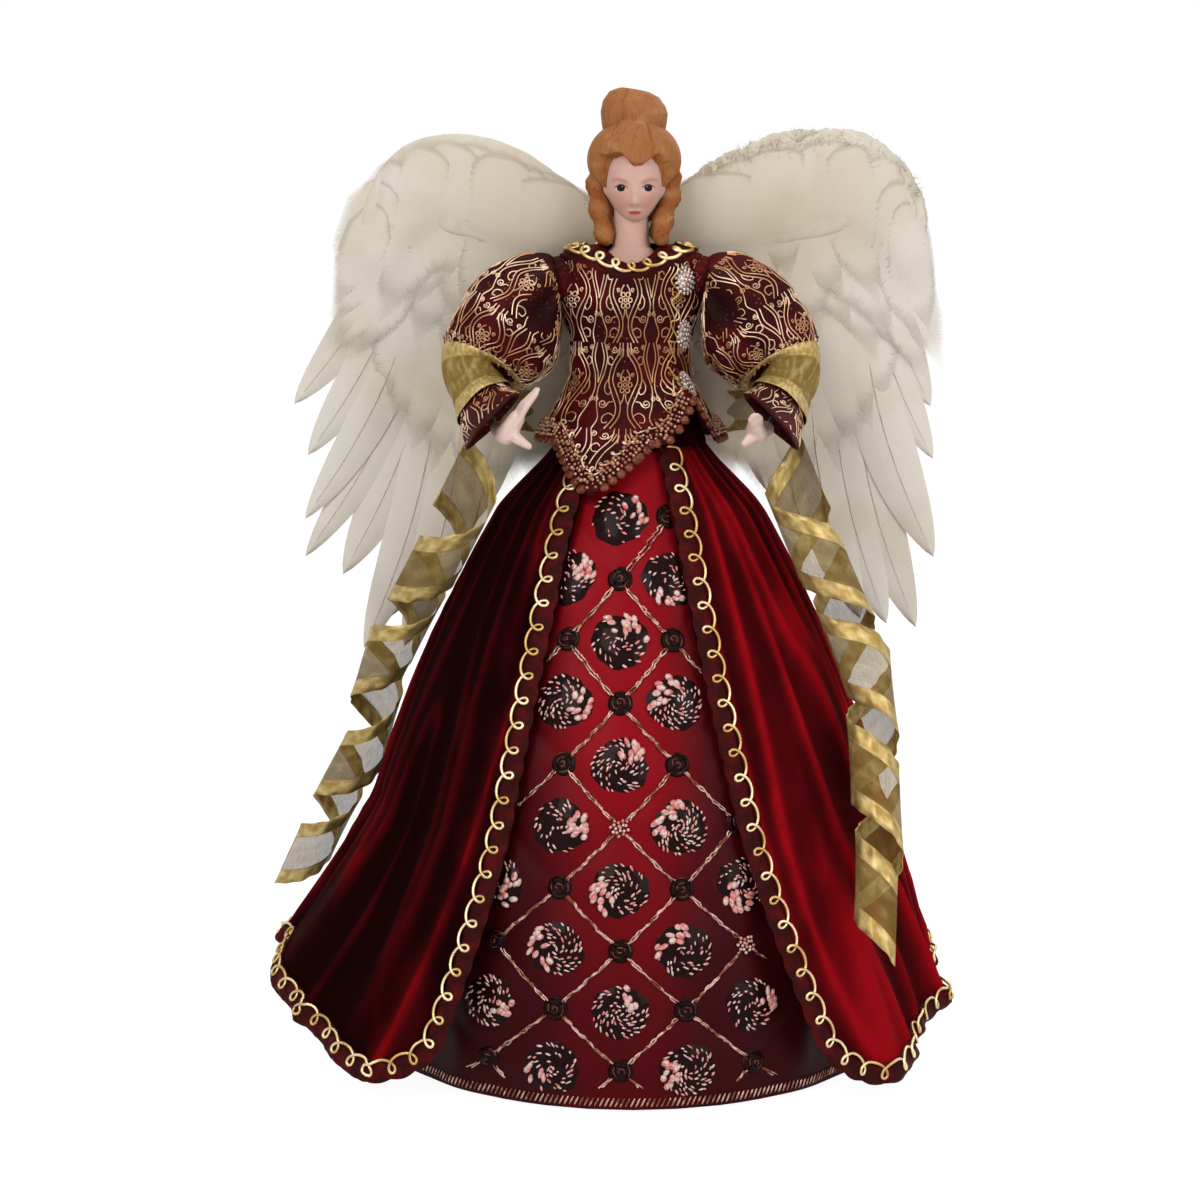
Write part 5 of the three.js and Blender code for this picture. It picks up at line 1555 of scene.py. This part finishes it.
class ANGEL_OT_sleeves(AngelOperator):
    """Puffed brocade sleeves gathered at both ends, and flared cuffs"""

    bl_idname = "angel.sleeves"
    bl_label = "Sleeves"

    def execute(self, context):
        for name, side in SIDES.items():
            line = arm_line(side)
            start = 12.2 * MM / line.length
            body = f"{name}_arm"
            inward = Vector((-side * 0.62, -0.74, 0.26))
            bodice_side = 29.4

            def tuck(u, v):
                """1 in the deep fold at the front, beside the bodice."""
                angle, share = math.tau * u, lerp(start, ELBOW, v)
                facing = (line.ring(share, angle, 1) - line.point(share)).normalized()
                return smooth(facing.dot(inward), 0.72, 0.95) * hump(v, 0.3, 0.2)

            # Painted shade in the deep fold beside the bodice and in the pleats at the gathered ends
            def shade(u, v):
                pleat = wave(18 * math.pi * u + 1.4 * math.sin(4 * math.pi * u) + math.pi / 2)
                ends = (1 - smooth(v, 0, 0.3)) + smooth(v, 0.7, 1)
                return clamp(1.1 * tuck(u, v) + 0.5 * ends * pleat)

            def puff(u, v):
                angle, share = math.tau * u, lerp(start, ELBOW, v)
                swell = math.sin(math.pi * clamp(0.002 + 0.998 * v)) ** 0.55
                ends = (1 - smooth(v, 0, 0.42)) + smooth(v, 0.62, 1)
                pleat = math.sin(9 * angle + 1.4 * math.sin(2 * angle)) * (0.5 + 1.7 * ends)
                spot = Vector((math.cos(angle) * 1.6, math.sin(angle) * 1.6, v * 4 + side))
                sag = noise.noise(spot) * 1.6
                radius = lerp(10.5, 23.8, swell) + (pleat - 0.6) * swell ** 0.6 + sag * swell
                radius -= 5 * tuck(u, v)
                place = line.ring(share, angle, radius)
                spare = side * (place.x - AXIS.x) / MM - bodice_side
                if spare < 5:
                    place.x = AXIS.x + side * (bodice_side + 5 * math.exp((spare - 5) / 5)) * MM
                behind = max(0.0, (place.y - AXIS.y) / MM - 13)
                place.y -= 0.3 * behind * MM
                return place

            def lower(u, v):
                angle, opened = math.tau * u, max(0.0, v) ** 1.5
                radius = lerp(8.5, 15.2, opened) - 0.3 + 0.6 * math.sin(5 * angle) * v ** 2
                return slanted(line, side, lerp(ELBOW + 0.004, CUFF, v), angle, radius, opened)

            thick = self.sizes.cloth / MM
            # The puff stores its painted shade for the brocade finish
            cloth = grid(150, 80, puff, closed=True, painted_shading=shade)
            sleeve = piece(
                f"{name}_puff_cloth", cloth, "brocade", body, [f"{name}_puff_sleeve"], thick)

            def on_puff(x, z):
                u, v = x / 138, 0.04 + z / 66
                shown = 0.06 < v < 0.95 and abs(x) < 69 and tuck(u, v) < 0.4
                return raised(puff, u, v, 0.6) if shown else None

            threads = scrollwork(138, 64, 27.6, 33, on_puff, 0.3)
            piece(f"{name}_puff_scrollwork", threads, "scroll", body)
            self.gathers(name, body, puff)
            cloth = grid(96, 40, lower, closed=True)
            cuff = piece(
                f"{name}_cuff_cloth", cloth, "brocade", body, [f"{name}_lower_sleeve"], thick)

            def on_cuff(x, z):
                v = z / 34
                return raised(lower, x / 68, v, 0.6) if 0.1 < v < 0.97 and abs(x) < 34 else None

            threads = scrollwork(68, 34, 22.6, 24, on_cuff, 0.28)
            scrolls = piece(f"{name}_cuff_scrollwork", threads, "scroll", body)
        return {"FINISHED"}

    @staticmethod
    def gathers(name, body, puff):
        """Two rows of small copper beads over the gathers at the foot of a puff."""
        rng = random.Random(23)
        beads = []
        for v in (0.86, 0.93):
            for i in range(44):
                u, size = (i + rng.uniform(-0.3, 0.3)) / 44, rng.uniform(0.9, 1.6)
                place, up = raised(puff, u, v, 0.7), normal_of(puff, u, v)
                beads.append(turned(place, Vector((0, 0, 1)), up, (size * 1.5, size, size)))
        piece(f"{name}_puff_beads", scatter(bead_mesh(), beads), "copper", body)


class ANGEL_OT_hands(AngelOperator):
    """Small cast hands: four fingers held together and the thumb apart"""

    bl_idname = "angel.hands"
    bl_label = "Hands"

    # From the middle of the palm: the fingertips, the way from the first finger to the last, and the tip of
    # the thumb, each as outward, back and up
    HELD = {
        "left": ((-12, -4, 17), (0.3, 0.85, 0.3), (-8.5, -5, -6)),
        "right": ((-2, -12, 7), (0.8, 0.2, 0.6), (-5, -3, -5)),
    }

    def execute(self, context):
        for name, side in SIDES.items():
            bm = bmesh.new()
            for limb in self.limbs(*self.HELD[name]):
                places = [at(side * p.x, p.y, p.z) for p, _ in limb]
                for i in range(len(limb) - 1):
                    steps = max(2, int((places[i + 1] - places[i]).length / (0.5 * MM)))
                    for k in range(steps + 1):
                        radius = lerp(limb[i][1], limb[i + 1][1], k / steps) * MM
                        middle = places[i].lerp(places[i + 1], k / steps)
                        ball = Matrix.Translation(middle) @ Matrix.Scale(radius, 4)
                        bmesh.ops.create_icosphere(bm, subdivisions=2, radius=1, matrix=ball)
            self.skinned(name, bm)
        return {"FINISHED"}

    @staticmethod
    def limbs(fingers, spread, thumb):
        """Runs of places and radii: the wrist with the palm, four fingers and the thumb."""
        wrist = Vector(WRIST)
        palm = wrist + Vector((-4, -7, 0.5))
        fingers, spread, thumb = Vector(fingers), Vector(spread), Vector(thumb)
        knuckles = palm + fingers * 0.3
        yield [(wrist + Vector((0.4, 1.5, 0.4)), 3.4), (palm - fingers * 0.08, 4.7), (knuckles, 3.4)]
        for reach, aside in ((0.92, -2.4), (1.0, -0.8), (0.98, 0.8), (0.86, 2.3)):
            base, tip = knuckles + spread * aside, palm + fingers * reach + spread * aside * 0.75
            bend = (base + tip) / 2 + Vector((0.5, -0.5, 0.2))
            yield [(palm + spread * aside * 0.6, 2.2), (base, 1.55), (bend, 1.45), (tip, 1.0)]
        yield [(palm, 3.2), (palm + thumb * 0.5 + Vector((0, -0.8, -0.4)), 2.3), (palm + thumb, 1.4)]

    @staticmethod
    def skinned(name, bm):
        """Makes one smooth skin over the balls of a hand."""
        hand = piece(f"{name}_cast_hand", bm, "hand")
        skin = hand.modifiers.new("Skin", "REMESH")
        skin.mode, skin.voxel_size = "VOXEL", 0.42 * MM
        relax = hand.modifiers.new("Relax", "SMOOTH")
        relax.factor, relax.iterations = 0.5, 6
        bpy.context.view_layer.update()
        mesh = bpy.data.meshes.new_from_object(hand.evaluated_get(bpy.context.evaluated_depsgraph_get()))
        hand.modifiers.clear()
        hand.data = mesh
        mesh.shade_smooth()
        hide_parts(f"{name}_hand")
        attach(hand, f"{name}_arm")


# Ribbon

class ANGEL_OT_ribbon(AngelOperator):
    """Sheer gold-edged ribbon: over the forearms, behind the back and down both sides in curls"""

    bl_idname = "angel.ribbon"
    bl_label = "Ribbon stole"

    CURL_AT = {"left": (-92, -112), "right": (84, 46)}
    CURL_TOP = {"left": 244.3, "right": 247.4}
    CURL_FOOT = {"left": 60, "right": 74}
    TURNS = 4
    CURL_RADIUS = 11.5
    THICK = 0.25

    def execute(self, context):
        for name, side in SIDES.items():
            line = arm_line(side)
            middle = line.point(lerp(ELBOW, CUFF, 0.43))
            wrap = self.wrap(name, side, line)
            tail = self.tail(name, side, middle)
            swag = self.swag(name, side, middle)
        return {"FINISHED"}

    def wrap(self, name, side, line):
        """Lies over the forearm from the foot of the puff to the cuff."""
        def surface(u, v):
            angle, along = math.tau * u, lerp(-0.16, 0.62, v)
            opened = max(0.0, along) ** 1.5
            radius = max(lerp(8.5, 15.2, opened) + 1.5, lerp(18.2, 11, smooth(v, 0, 0.55)))
            radius += 0.4 * math.sin(5 * angle + 3 * v)
            return slanted(line, side, lerp(ELBOW + 0.004, CUFF, along), angle, radius, opened)

        bm = grid(80, 24, surface, closed=True)
        self.turn_map(bm)
        return piece(
            f"{name}_forearm_ribbon", bm, "doubled ribbon", f"{name}_arm", [f"{name}_ribbon_wrap"],
            self.THICK)

    @staticmethod
    def turn_map(bm):
        """Swaps the map's two ways, so that u runs across the ribbon."""
        layer = bm.loops.layers.uv.active
        for face in bm.faces:
            for loop in face.loops:
                u, v = loop[layer].uv
                loop[layer].uv = (v, u)

    def tail(self, name, side, middle):
        """Hangs from the forearm in curls, beside the overskirt."""
        def azimuth(share):
            return math.radians(lerp(*self.CURL_AT[name], share))

        top_z, foot_z = self.CURL_TOP[name], self.CURL_FOOT[name]
        slope = math.atan2(top_z - foot_z, self.TURNS * math.tau * self.CURL_RADIUS)
        half = self.sizes.ribbon / MM / 2 / math.cos(slope)

        def curl(share):
            return lerp(self.CURL_RADIUS, 9, share)

        def beside(share):
            z = lerp(top_z, foot_z, share)
            skirt = overskirt_radius(azimuth(share), z - half) + 6 * share + 1.4
            return polar(azimuth(share), skirt + curl(share) + 0.7, z)

        top = Vector((middle.x + side * 1.8 * MM, middle.y - 1 * MM, top_z * MM))
        low = [beside(lerp(0.45, 1, i / 5)) for i in range(6)]
        spine = Line([top, top.lerp(low[0], 0.4), *low])

        def surface(share, v):
            tangent = spine.tangent(share)
            radial = polar(azimuth(share), 1, 0) - polar(azimuth(share), 0, 0)
            radial = (radial - tangent * radial.dot(tangent)).normalized()
            sideways = tangent.cross(radial)
            turn = share * self.TURNS * math.tau
            across = (v - 0.5) * 2 * half
            radius = curl(share) + 0.5 * math.sin(9 * turn) * (abs(v - 0.5) * 2) ** 3
            return (spine.point(share) + tangent * across * MM
                    + (radial * math.cos(turn) - sideways * side * math.sin(turn)) * radius * MM)

        bm = grid(260, 14, surface)
        self.turn_map(bm)
        tail = piece(
            f"{name}_curled_ribbon", bm, "ribbon", None, [f"{name}_ribbon_tail"], self.THICK)
        spine.point(0.45)
        spine.point(0.0)
        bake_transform(tail)
        return tail

    def swag(self, name, side, middle):
        """Runs in pleats from the forearm round to the middle of the back."""
        back = bodice(math.pi, 1).y + 3.8 * MM
        z = 264
        spine = Line([
            Vector((middle.x + side * 5 * MM, middle.y + 12.5 * MM, (z + 10) * MM)),
            at(side * 46, 19.5, z + 6),
            Vector((AXIS.x + side * 24 * MM, back - 3 * MM, (z + 2) * MM)),
            Vector((AXIS.x + side * 0.35 * MM, back, z * MM))])

        def surface(u, v):
            half = lerp(8.6, 13.4, smooth(u, 0.4, 1))
            pleat = lerp(5, 3.8, u) * wave(4 * math.pi * v)
            return spine.point(u) + Vector((0, pleat * MM, (0.5 - v) * 2 * half * MM))

        bm = grid(70, 28, surface)
        self.turn_map(bm)
        swag = piece(
            f"{name}_back_ribbon", bm, "ribbon", None, [f"{name}_ribbon_swag"], self.THICK)
        spine.point(0.75)
        spine.point(0.05)
        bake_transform(swag)
        return swag


# Wings

WING_SWEEP = math.radians(8)
WING_FOOT, WING_RISE = 290, 78
# Middle line of the roll of down, as shares of the wing's reach and rise
DOWN_CREST = {
    "left": ((0.06, 0.79), (0.3, 0.825), (0.6, 0.955), (0.84, 0.975), (1, 0.82), (1.1, 0.59)),
    "right": ((0.06, 0.79), (0.3, 0.86), (0.6, 0.96), (0.84, 0.975), (1, 0.82), (1.1, 0.59)),
}
# Long feathers from the outer one in: the root's x and height, the lean in degrees, the length, and the
# width of the solid
FLIGHT = {
    "left": [
        (86, 356, 32, 100, 24), (84, 343, 27.5, 106, 25), (80, 330, 26.5, 122, 25), (77, 318, 27, 128, 24),
        (72, 305, 14.7, 146, 27), (62, 300, 12, 138, 27), (50, 296, 10, 80, 26)],
    "right": [
        (96, 350, 18.6, 84, 26), (92, 338, 19.5, 96, 26), (90, 320, 16.8, 121, 30), (86, 308, 13.3, 139, 26),
        (78, 300, 11.9, 128, 24), (68, 297, 11.5, 122, 24), (54, 294, 10, 84, 25)],
}
# Their widths here: the outer ones stand apart like fingers
BLADE = {"left": (20, 21, 20, 19, 24, 27, 26), "right": (21, 20, 26, 26, 26, 26, 25)}


def wing_place(name, x, y, z):
    """A place on a wing: x out from the hinge, y behind it and z up from the floor."""
    side = SIDES[name]
    hinge = Vector(JOINTS[f"{name}_wing_hinge"]["pos_m"])
    out = Vector((side * math.cos(WING_SWEEP), math.sin(WING_SWEEP), 0))
    back = Vector((-side * math.sin(WING_SWEEP), math.cos(WING_SWEEP), 0))
    return Vector((hinge.x, hinge.y, z * MM)) + (out * x + back * y) * MM


def feather_surface(name, shape, y, camber=1.2, curl=0.0, root=0.1):
    """The vane of a feather: u runs across it and v from root to tip. Its y may depend on its place."""
    root_x, root_z, lean, length, width = shape
    angle = math.radians(lean)
    along = (math.sin(angle), -math.cos(angle))
    across = (math.cos(angle), math.sin(angle))

    def surface(u, v):
        half = width / 2 * min(1.0, root + 2.4 * v) * max(0.0, 1 - v ** 4.2) ** 0.8
        out = (2 * u - 1) * half
        bow = -0.05 * length * math.sin(math.pi * v)
        x = root_x + along[0] * v * length + across[0] * (bow + out)
        z = root_z + along[1] * v * length + across[1] * (bow + out)
        bend = camber * (2 * u - 1) ** 2 * min(1.0, 3 * v) + curl * v ** 2
        return wing_place(name, x, (y(x, z) if callable(y) else y) + bend, z)

    return surface


def feather(name, shape, y, rows, columns=8, camber=1.2, curl=0.0, root=0.1):
    bm = grid(columns, rows, feather_surface(name, shape, y, camber, curl, root))
    if SIDES[name] > 0:
        bmesh.ops.reverse_faces(bm, faces=bm.faces)
    layer = bm.loops.layers.uv.active
    for face in bm.faces:
        for loop in face.loops:
            loop[layer].uv.y = 1 - loop[layer].uv.y
    return bm


def quill(name, shape, y):
    surface = feather_surface(name, shape, y - 0.25, 0.0)
    return [(surface(0.5, i / 14), 1 - 0.85 * i / 14) for i in range(14)]


def gathered(parts):
    """Several bmeshes as one."""
    whole = bmesh.new()
    whole.loops.layers.uv.new("UVMap")
    for part in parts:
        take_in(whole, part)
    return whole


def layer_y(layer):
    """The y of a layer of feathers, which lies in front of the hinge."""
    return -3.45 - layer * 0.9


def wing_reach(name):
    return FLIGHT[name][0][0] * 1.07


class ANGEL_OT_flight_feathers(AngelOperator):
    """Long wing feathers in overlapping layers, each with its quill"""

    bl_idname = "angel.flight_feathers"
    bl_label = "Flight feathers"

    def execute(self, context):
        for name in SIDES:
            body = f"{name}_wing"
            quills = []
            for i, shape in enumerate(FLIGHT[name]):
                y = layer_y(i % 3)
                vane = feather(name, (*shape[:4], BLADE[name][i]), y, 44, 10)
                solid = f"{name}_flight_feather_{i + 1}"
                piece(f"{name}_long_feather_{i + 1}", vane, "vane", body, [solid])
                quills.append(quill(name, shape, y))
            between = []
            for i, (first, second) in enumerate(zip(FLIGHT[name][3:], FLIGHT[name][4:])):
                shape = [lerp(a, b, 0.5) for a, b in zip(first, second)]
                shape[3] *= 0.9
                y = layer_y(0) + 0.5 + 0.35 * (i % 2)
                between.append(feather(name, shape, y, 34))
                quills.append(quill(name, shape, y))
            for shape in ((46, 296, 8, 66, 20), (41, 297, 8, 52, 18)):
                between.append(feather(name, shape, 1.2, 24))
            piece(f"{name}_under_feathers", gathered(between), "vane", body)
            piece(f"{name}_quills", cords(quills, 0.32), "felt", body)
        return {"FINISHED"}


class ANGEL_OT_coverts(AngelOperator):
    """Rows of short soft feathers over the roots of the long ones, in front and behind"""

    bl_idname = "angel.coverts"
    bl_label = "Coverts"

    def execute(self, context):
        for name in SIDES:
            body = f"{name}_wing"
            rng = random.Random(17 + SIDES[name])
            outer = min(wing_reach(name) - 8, 88)
            front = []
            for row, (count, drop, long, y) in enumerate((
                    (9, 26, 92, layer_y(3)), (9, 8, 78, layer_y(3) - 0.6), (8, -8, 62, layer_y(3) - 1.2))):
                for i in range(count):
                    share = (i + 0.35 * (row % 2)) / (count - 0.6)
                    z = WING_FOOT + 68 - 26 * share ** 2 - drop
                    shape = self.shape(rng, outer, share, z, long)
                    front.append(feather(name, shape, y - 0.15 * (i % 3), 20, 8, 1.0, 1.2 + row))
            coverts = gathered(front)
            piece(f"{name}_covert_feathers", coverts, "plume", body, [f"{name}_wing_coverts"])
            rear = []
            for row, (count, drop, long) in enumerate(((8, 30, 88), (8, 12, 76), (8, -6, 62))):
                for i in range(count):
                    share = (i + 0.4 * (row % 2)) / (count - 0.6)
                    z = WING_FOOT + 70 - 24 * share ** 2 - drop
                    shape = self.shape(rng, outer, share, z, long)
                    rear.append(feather(name, shape, 0.6 + 0.7 * row + 0.15 * (i % 3), 18, 8, -1.0, 1.0))
            piece(f"{name}_back_feathers", gathered(rear), "plume", body, [f"{name}_wing_pad"])
        return {"FINISHED"}

    @staticmethod
    def shape(rng, outer, share, z, long):
        """A covert's root, lean, length and width. The longest ones are in the middle of the wing."""
        length = long * (0.55 + 0.45 * math.sin(math.pi * (0.1 + 0.75 * share)))
        lean = lerp(15, 3, share) + rng.uniform(-3, 3)
        return lerp(outer, 28, share), z, lean, length, rng.uniform(26, 34)


class ANGEL_OT_down(AngelOperator):
    """Soft top of each wing: a roll of down under plumes, smooth on the left wing and fluffy on the right"""

    bl_idname = "angel.down"
    bl_label = "Wing down"

    def execute(self, context):
        for name in SIDES:
            body = f"{name}_wing"
            fluffy = name == "right"
            reach = wing_reach(name)
            middle_y = layer_y(3) - 3.2
            roll = Line([Vector((reach * x, 0, WING_FOOT + WING_RISE * z)) for x, z in DOWN_CREST[name]])

            def section(share):
                """Middle of the roll, the way across it and its half width."""
                tangent = roll.tangent(share)
                across = Vector((-tangent.z, 0, tangent.x))
                half = lerp(7, 22, math.sin(math.pi * (0.14 + 0.8 * share)) ** 1.2)
                return roll.point(share), across, half

            def place(share, angle, grow):
                middle, across, half = section(clamp(share))
                p = middle + across * half * grow * math.cos(angle)
                return p.x, middle_y + 3.4 * grow * math.sin(angle), p.z

            def front(x, z):
                """Just in front of the roll, and of the coverts below it."""
                middle, across, half = section(clamp((x / reach - 0.06) / 1.04))
                out = (Vector((x, 0, z)) - middle).dot(across) / half
                on_roll = middle_y - 3.5 * max(0.0, 1 - min(1.0, abs(out)) ** 2) ** 0.7
                y = lerp(on_roll, layer_y(3) - 1.5, smooth(-out, 0.7, 1.7))
                beyond = (Vector((x, 0, z)) - roll.point(1)).dot(roll.tangent(1))
                return lerp(y, layer_y(2) - 0.9, smooth(beyond, -4, 20)) - 0.4

            def surface(u, v):
                angle = math.tau * u
                spot = Vector((v * 14, math.cos(angle) * 2.2, math.sin(angle) * 2.2))
                tuft = 0.02 * noise.noise(spot)
                if fluffy:
                    top = smooth(math.cos(angle), 0, 0.6)
                    coarse, fine = abs(noise.noise(spot * 1.1)), abs(noise.noise(spot * 3.6))
                    tuft = 0.05 + top * (0.1 - 0.3 * coarse - 0.08 * fine)
                ends = math.sqrt(max(0.0, 1 - (2 * v - 1) ** 8))
                return wing_place(name, *place(v, angle, (0.97 + tuft) * ends))

            bm = grid(90, 150, surface, closed=True)
            bmesh.ops.recalc_face_normals(bm, faces=bm.faces)
            piece(f"{name}_down_roll", bm, "down", body, [f"{name}_wing_down"])
            self.plumes(name, body, place, front, fluffy)
            if fluffy:
                self.strands(name, body, place)
        return {"FINISHED"}

    @staticmethod
    def plumes(name, body, place, front, fluffy):
        """Broad soft feathers over the roll. They start near its top edge and end on the coverts."""
        rng = random.Random(41 + SIDES[name])
        made = []
        for row, (grow, long) in enumerate(((-0.2, 56), (0.4, 60), (0.93, 62))):
            count = 13
            for i in range(count):
                share = 0.05 + 0.9 * (i + 0.5 * (row % 2)) / (count - 0.5)
                x, _, z = place(share, 0.0, grow)
                stray = 12 * (1 - share) if fluffy else 3
                lean = lerp(4, FLIGHT[name][0][2] - 2, share) + rng.uniform(-1, 1) * stray
                length = long * rng.uniform(0.85, 1.3) * (0.8 + 0.3 * math.sin(math.pi * share))
                width = rng.uniform(0.9, 1.1) * lerp(38, 18, share ** 2) * smooth(share, -0.14, 0.16)
                shape = (x - 14 * share ** 4, z, lean, length, width)
                lift = 0.2 * row + 0.06 * (i % 3)
                root = lerp(0.6, 0.15, share ** 2)
                made.append(feather(
                    name, shape, lambda px, pz: front(px, pz) - lift, 24, 8, 0.25, 0.3, root))
        piece(f"{name}_top_plumes", gathered(made), "plume", body)

    def strands(self, name, body, place):
        """Loose strands that stand out of the top of the roll."""
        rng = random.Random(29)
        bm = bmesh.new()
        bm.loops.layers.uv.new("UVMap")
        bmesh.ops.create_grid(bm, x_segments=1, y_segments=4, size=0.5, calc_uvs=True)
        for vert in bm.verts:
            v = vert.co.y + 0.5
            vert.co = Vector((v, vert.co.x * (1 - 0.8 * v), 0.35 * v * v))
        blade = mesh_of(bm, "strand")
        matrices = []
        for _ in range(self.sizes.strands):
            share = rng.uniform(0.15, 0.84)
            angle = rng.uniform(-0.7, 0.7)
            root = wing_place(name, *place(share, angle, rng.uniform(0.7, 0.95)))
            near, turn = share + rng.uniform(-0.02, 0.04), angle + rng.uniform(-0.3, 0.3)
            tip = wing_place(name, *place(near, turn, 1.1))
            loose = Vector((rng.uniform(-1, 1), rng.uniform(-1, 1), rng.uniform(-1, 1)))
            along = (tip - root).normalized() + loose * 0.6
            length = rng.uniform(3, 6.5)
            matrices.append(turned(root, along, loose, (length, rng.uniform(0.3, 0.7), length)))
        piece(f"{name}_down_strands", scatter(blade, matrices), "down", body)


# Studio

class ANGEL_OT_studio(AngelOperator):
    """Pale floor, soft studio light and a camera at the photograph's angle"""

    bl_idname = "angel.studio"
    bl_label = "Studio"

    # Name, place and size in metres, and power in watts
    LAMPS = (
        ("key", (-0.9, -1.5, 1.5), 1.1, 23), ("fill", (1.3, -1.3, 0.9), 1.2, 14),
        ("top", (0.1, 0.2, 1.9), 1.2, 11), ("rim", (0.9, 1.2, 1.1), 0.9, 7))
    CAMERA_TILT = math.radians(90 - 8.383)
    CAMERA_LENS = 81.73

    def execute(self, context):
        scene = context.scene
        scene.view_settings.view_transform = "Standard"
        self.backdrop(scene)
        self.floor()
        for name, place, size, power in self.LAMPS:
            lamp = bpy.data.lights.new(name, "AREA")
            lamp.energy, lamp.size = power, size
            light = bpy.data.objects.new(name, lamp)
            light.location = place
            light.rotation_euler = (Vector((0, 0, 0.2)) - light.location).to_track_quat("-Z", "Y").to_euler()
            scene.collection.objects.link(light)
        camera = bpy.data.cameras.new("camera")
        camera.lens, camera.sensor_width = self.CAMERA_LENS, 36.0
        holder = bpy.data.objects.new("camera", camera)
        holder.location = at(-13, -1150, 360)
        holder.rotation_euler = (self.CAMERA_TILT, 0, 0)
        scene.collection.objects.link(holder)
        scene.camera = holder
        return {"FINISHED"}

    @staticmethod
    def floor():
        bm = bmesh.new()
        bmesh.ops.create_circle(bm, cap_ends=True, segments=96, radius=3.0)
        mesh = mesh_of(bm, "floor")
        s = Shader("floor")
        plain = s.surface(Base_Color=(0.93, 0.93, 0.93), Roughness=0.9, Specular_IOR_Level=0.0)
        white = s.node("ShaderNodeEmission", None, {"Color": (1, 1, 1), "Strength": 1.17})
        mixed = s.node("ShaderNodeMixShader", None, {0: s.seen() * 0.8, 1: plain, 2: white})
        mesh.materials.append(s.show(mixed))
        floor = bpy.data.objects.new("floor", mesh)
        bpy.context.scene.collection.objects.link(floor)

    @staticmethod
    def backdrop(scene):
        scene.world = bpy.data.worlds.new("studio")
        s = Shader("studio", scene.world)
        dim, white = (s.node("ShaderNodeBackground", None, {"Color": (1, 1, 1), "Strength": strength})
                      for strength in (0.3, 1.0))
        s.show(s.node("ShaderNodeMixShader", None, {0: s.seen(), 1: dim, 2: white}), "ShaderNodeOutputWorld")


PIECES = (
    ANGEL_OT_frame, ANGEL_OT_underskirt, ANGEL_OT_panel_beading, ANGEL_OT_overskirt,
    ANGEL_OT_overskirt_braid,
    ANGEL_OT_bodice, ANGEL_OT_bodice_trims, ANGEL_OT_buttons, ANGEL_OT_head, ANGEL_OT_hair, ANGEL_OT_sleeves,
    ANGEL_OT_hands, ANGEL_OT_ribbon, ANGEL_OT_flight_feathers, ANGEL_OT_coverts, ANGEL_OT_down,
    ANGEL_OT_studio)


class ANGEL_PT_panel(bpy.types.Panel):
    """Lists the operators and the values that they read"""

    bl_idname = "ANGEL_PT_panel"
    bl_label = "Angel tree topper"
    bl_space_type = "VIEW_3D"
    bl_region_type = "UI"
    bl_category = "Angel"

    def draw(self, context):
        column = self.layout.column(align=True)
        for made in PIECES:
            column.operator(made.bl_idname)
        for group in (context.scene.angel_sizes, context.scene.angel_colours):
            column = self.layout.column(align=True)
            for key in group.__annotations__:
                column.prop(group, key)


CLASSES = (AngelColours, AngelSizes, *PIECES, ANGEL_PT_panel)


def register():
    for made in CLASSES:
        bpy.utils.register_class(made)
    bpy.types.Scene.angel_colours = PointerProperty(type=AngelColours)
    bpy.types.Scene.angel_sizes = PointerProperty(type=AngelSizes)


def unregister():
    del bpy.types.Scene.angel_sizes
    del bpy.types.Scene.angel_colours
    for made in reversed(CLASSES):
        bpy.utils.unregister_class(made)


def main():
    register()
    for made in PIECES:
        group, name = made.bl_idname.split(".")
        getattr(getattr(bpy.ops, group), name)()
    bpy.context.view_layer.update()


if __name__ == "__main__":
    main()
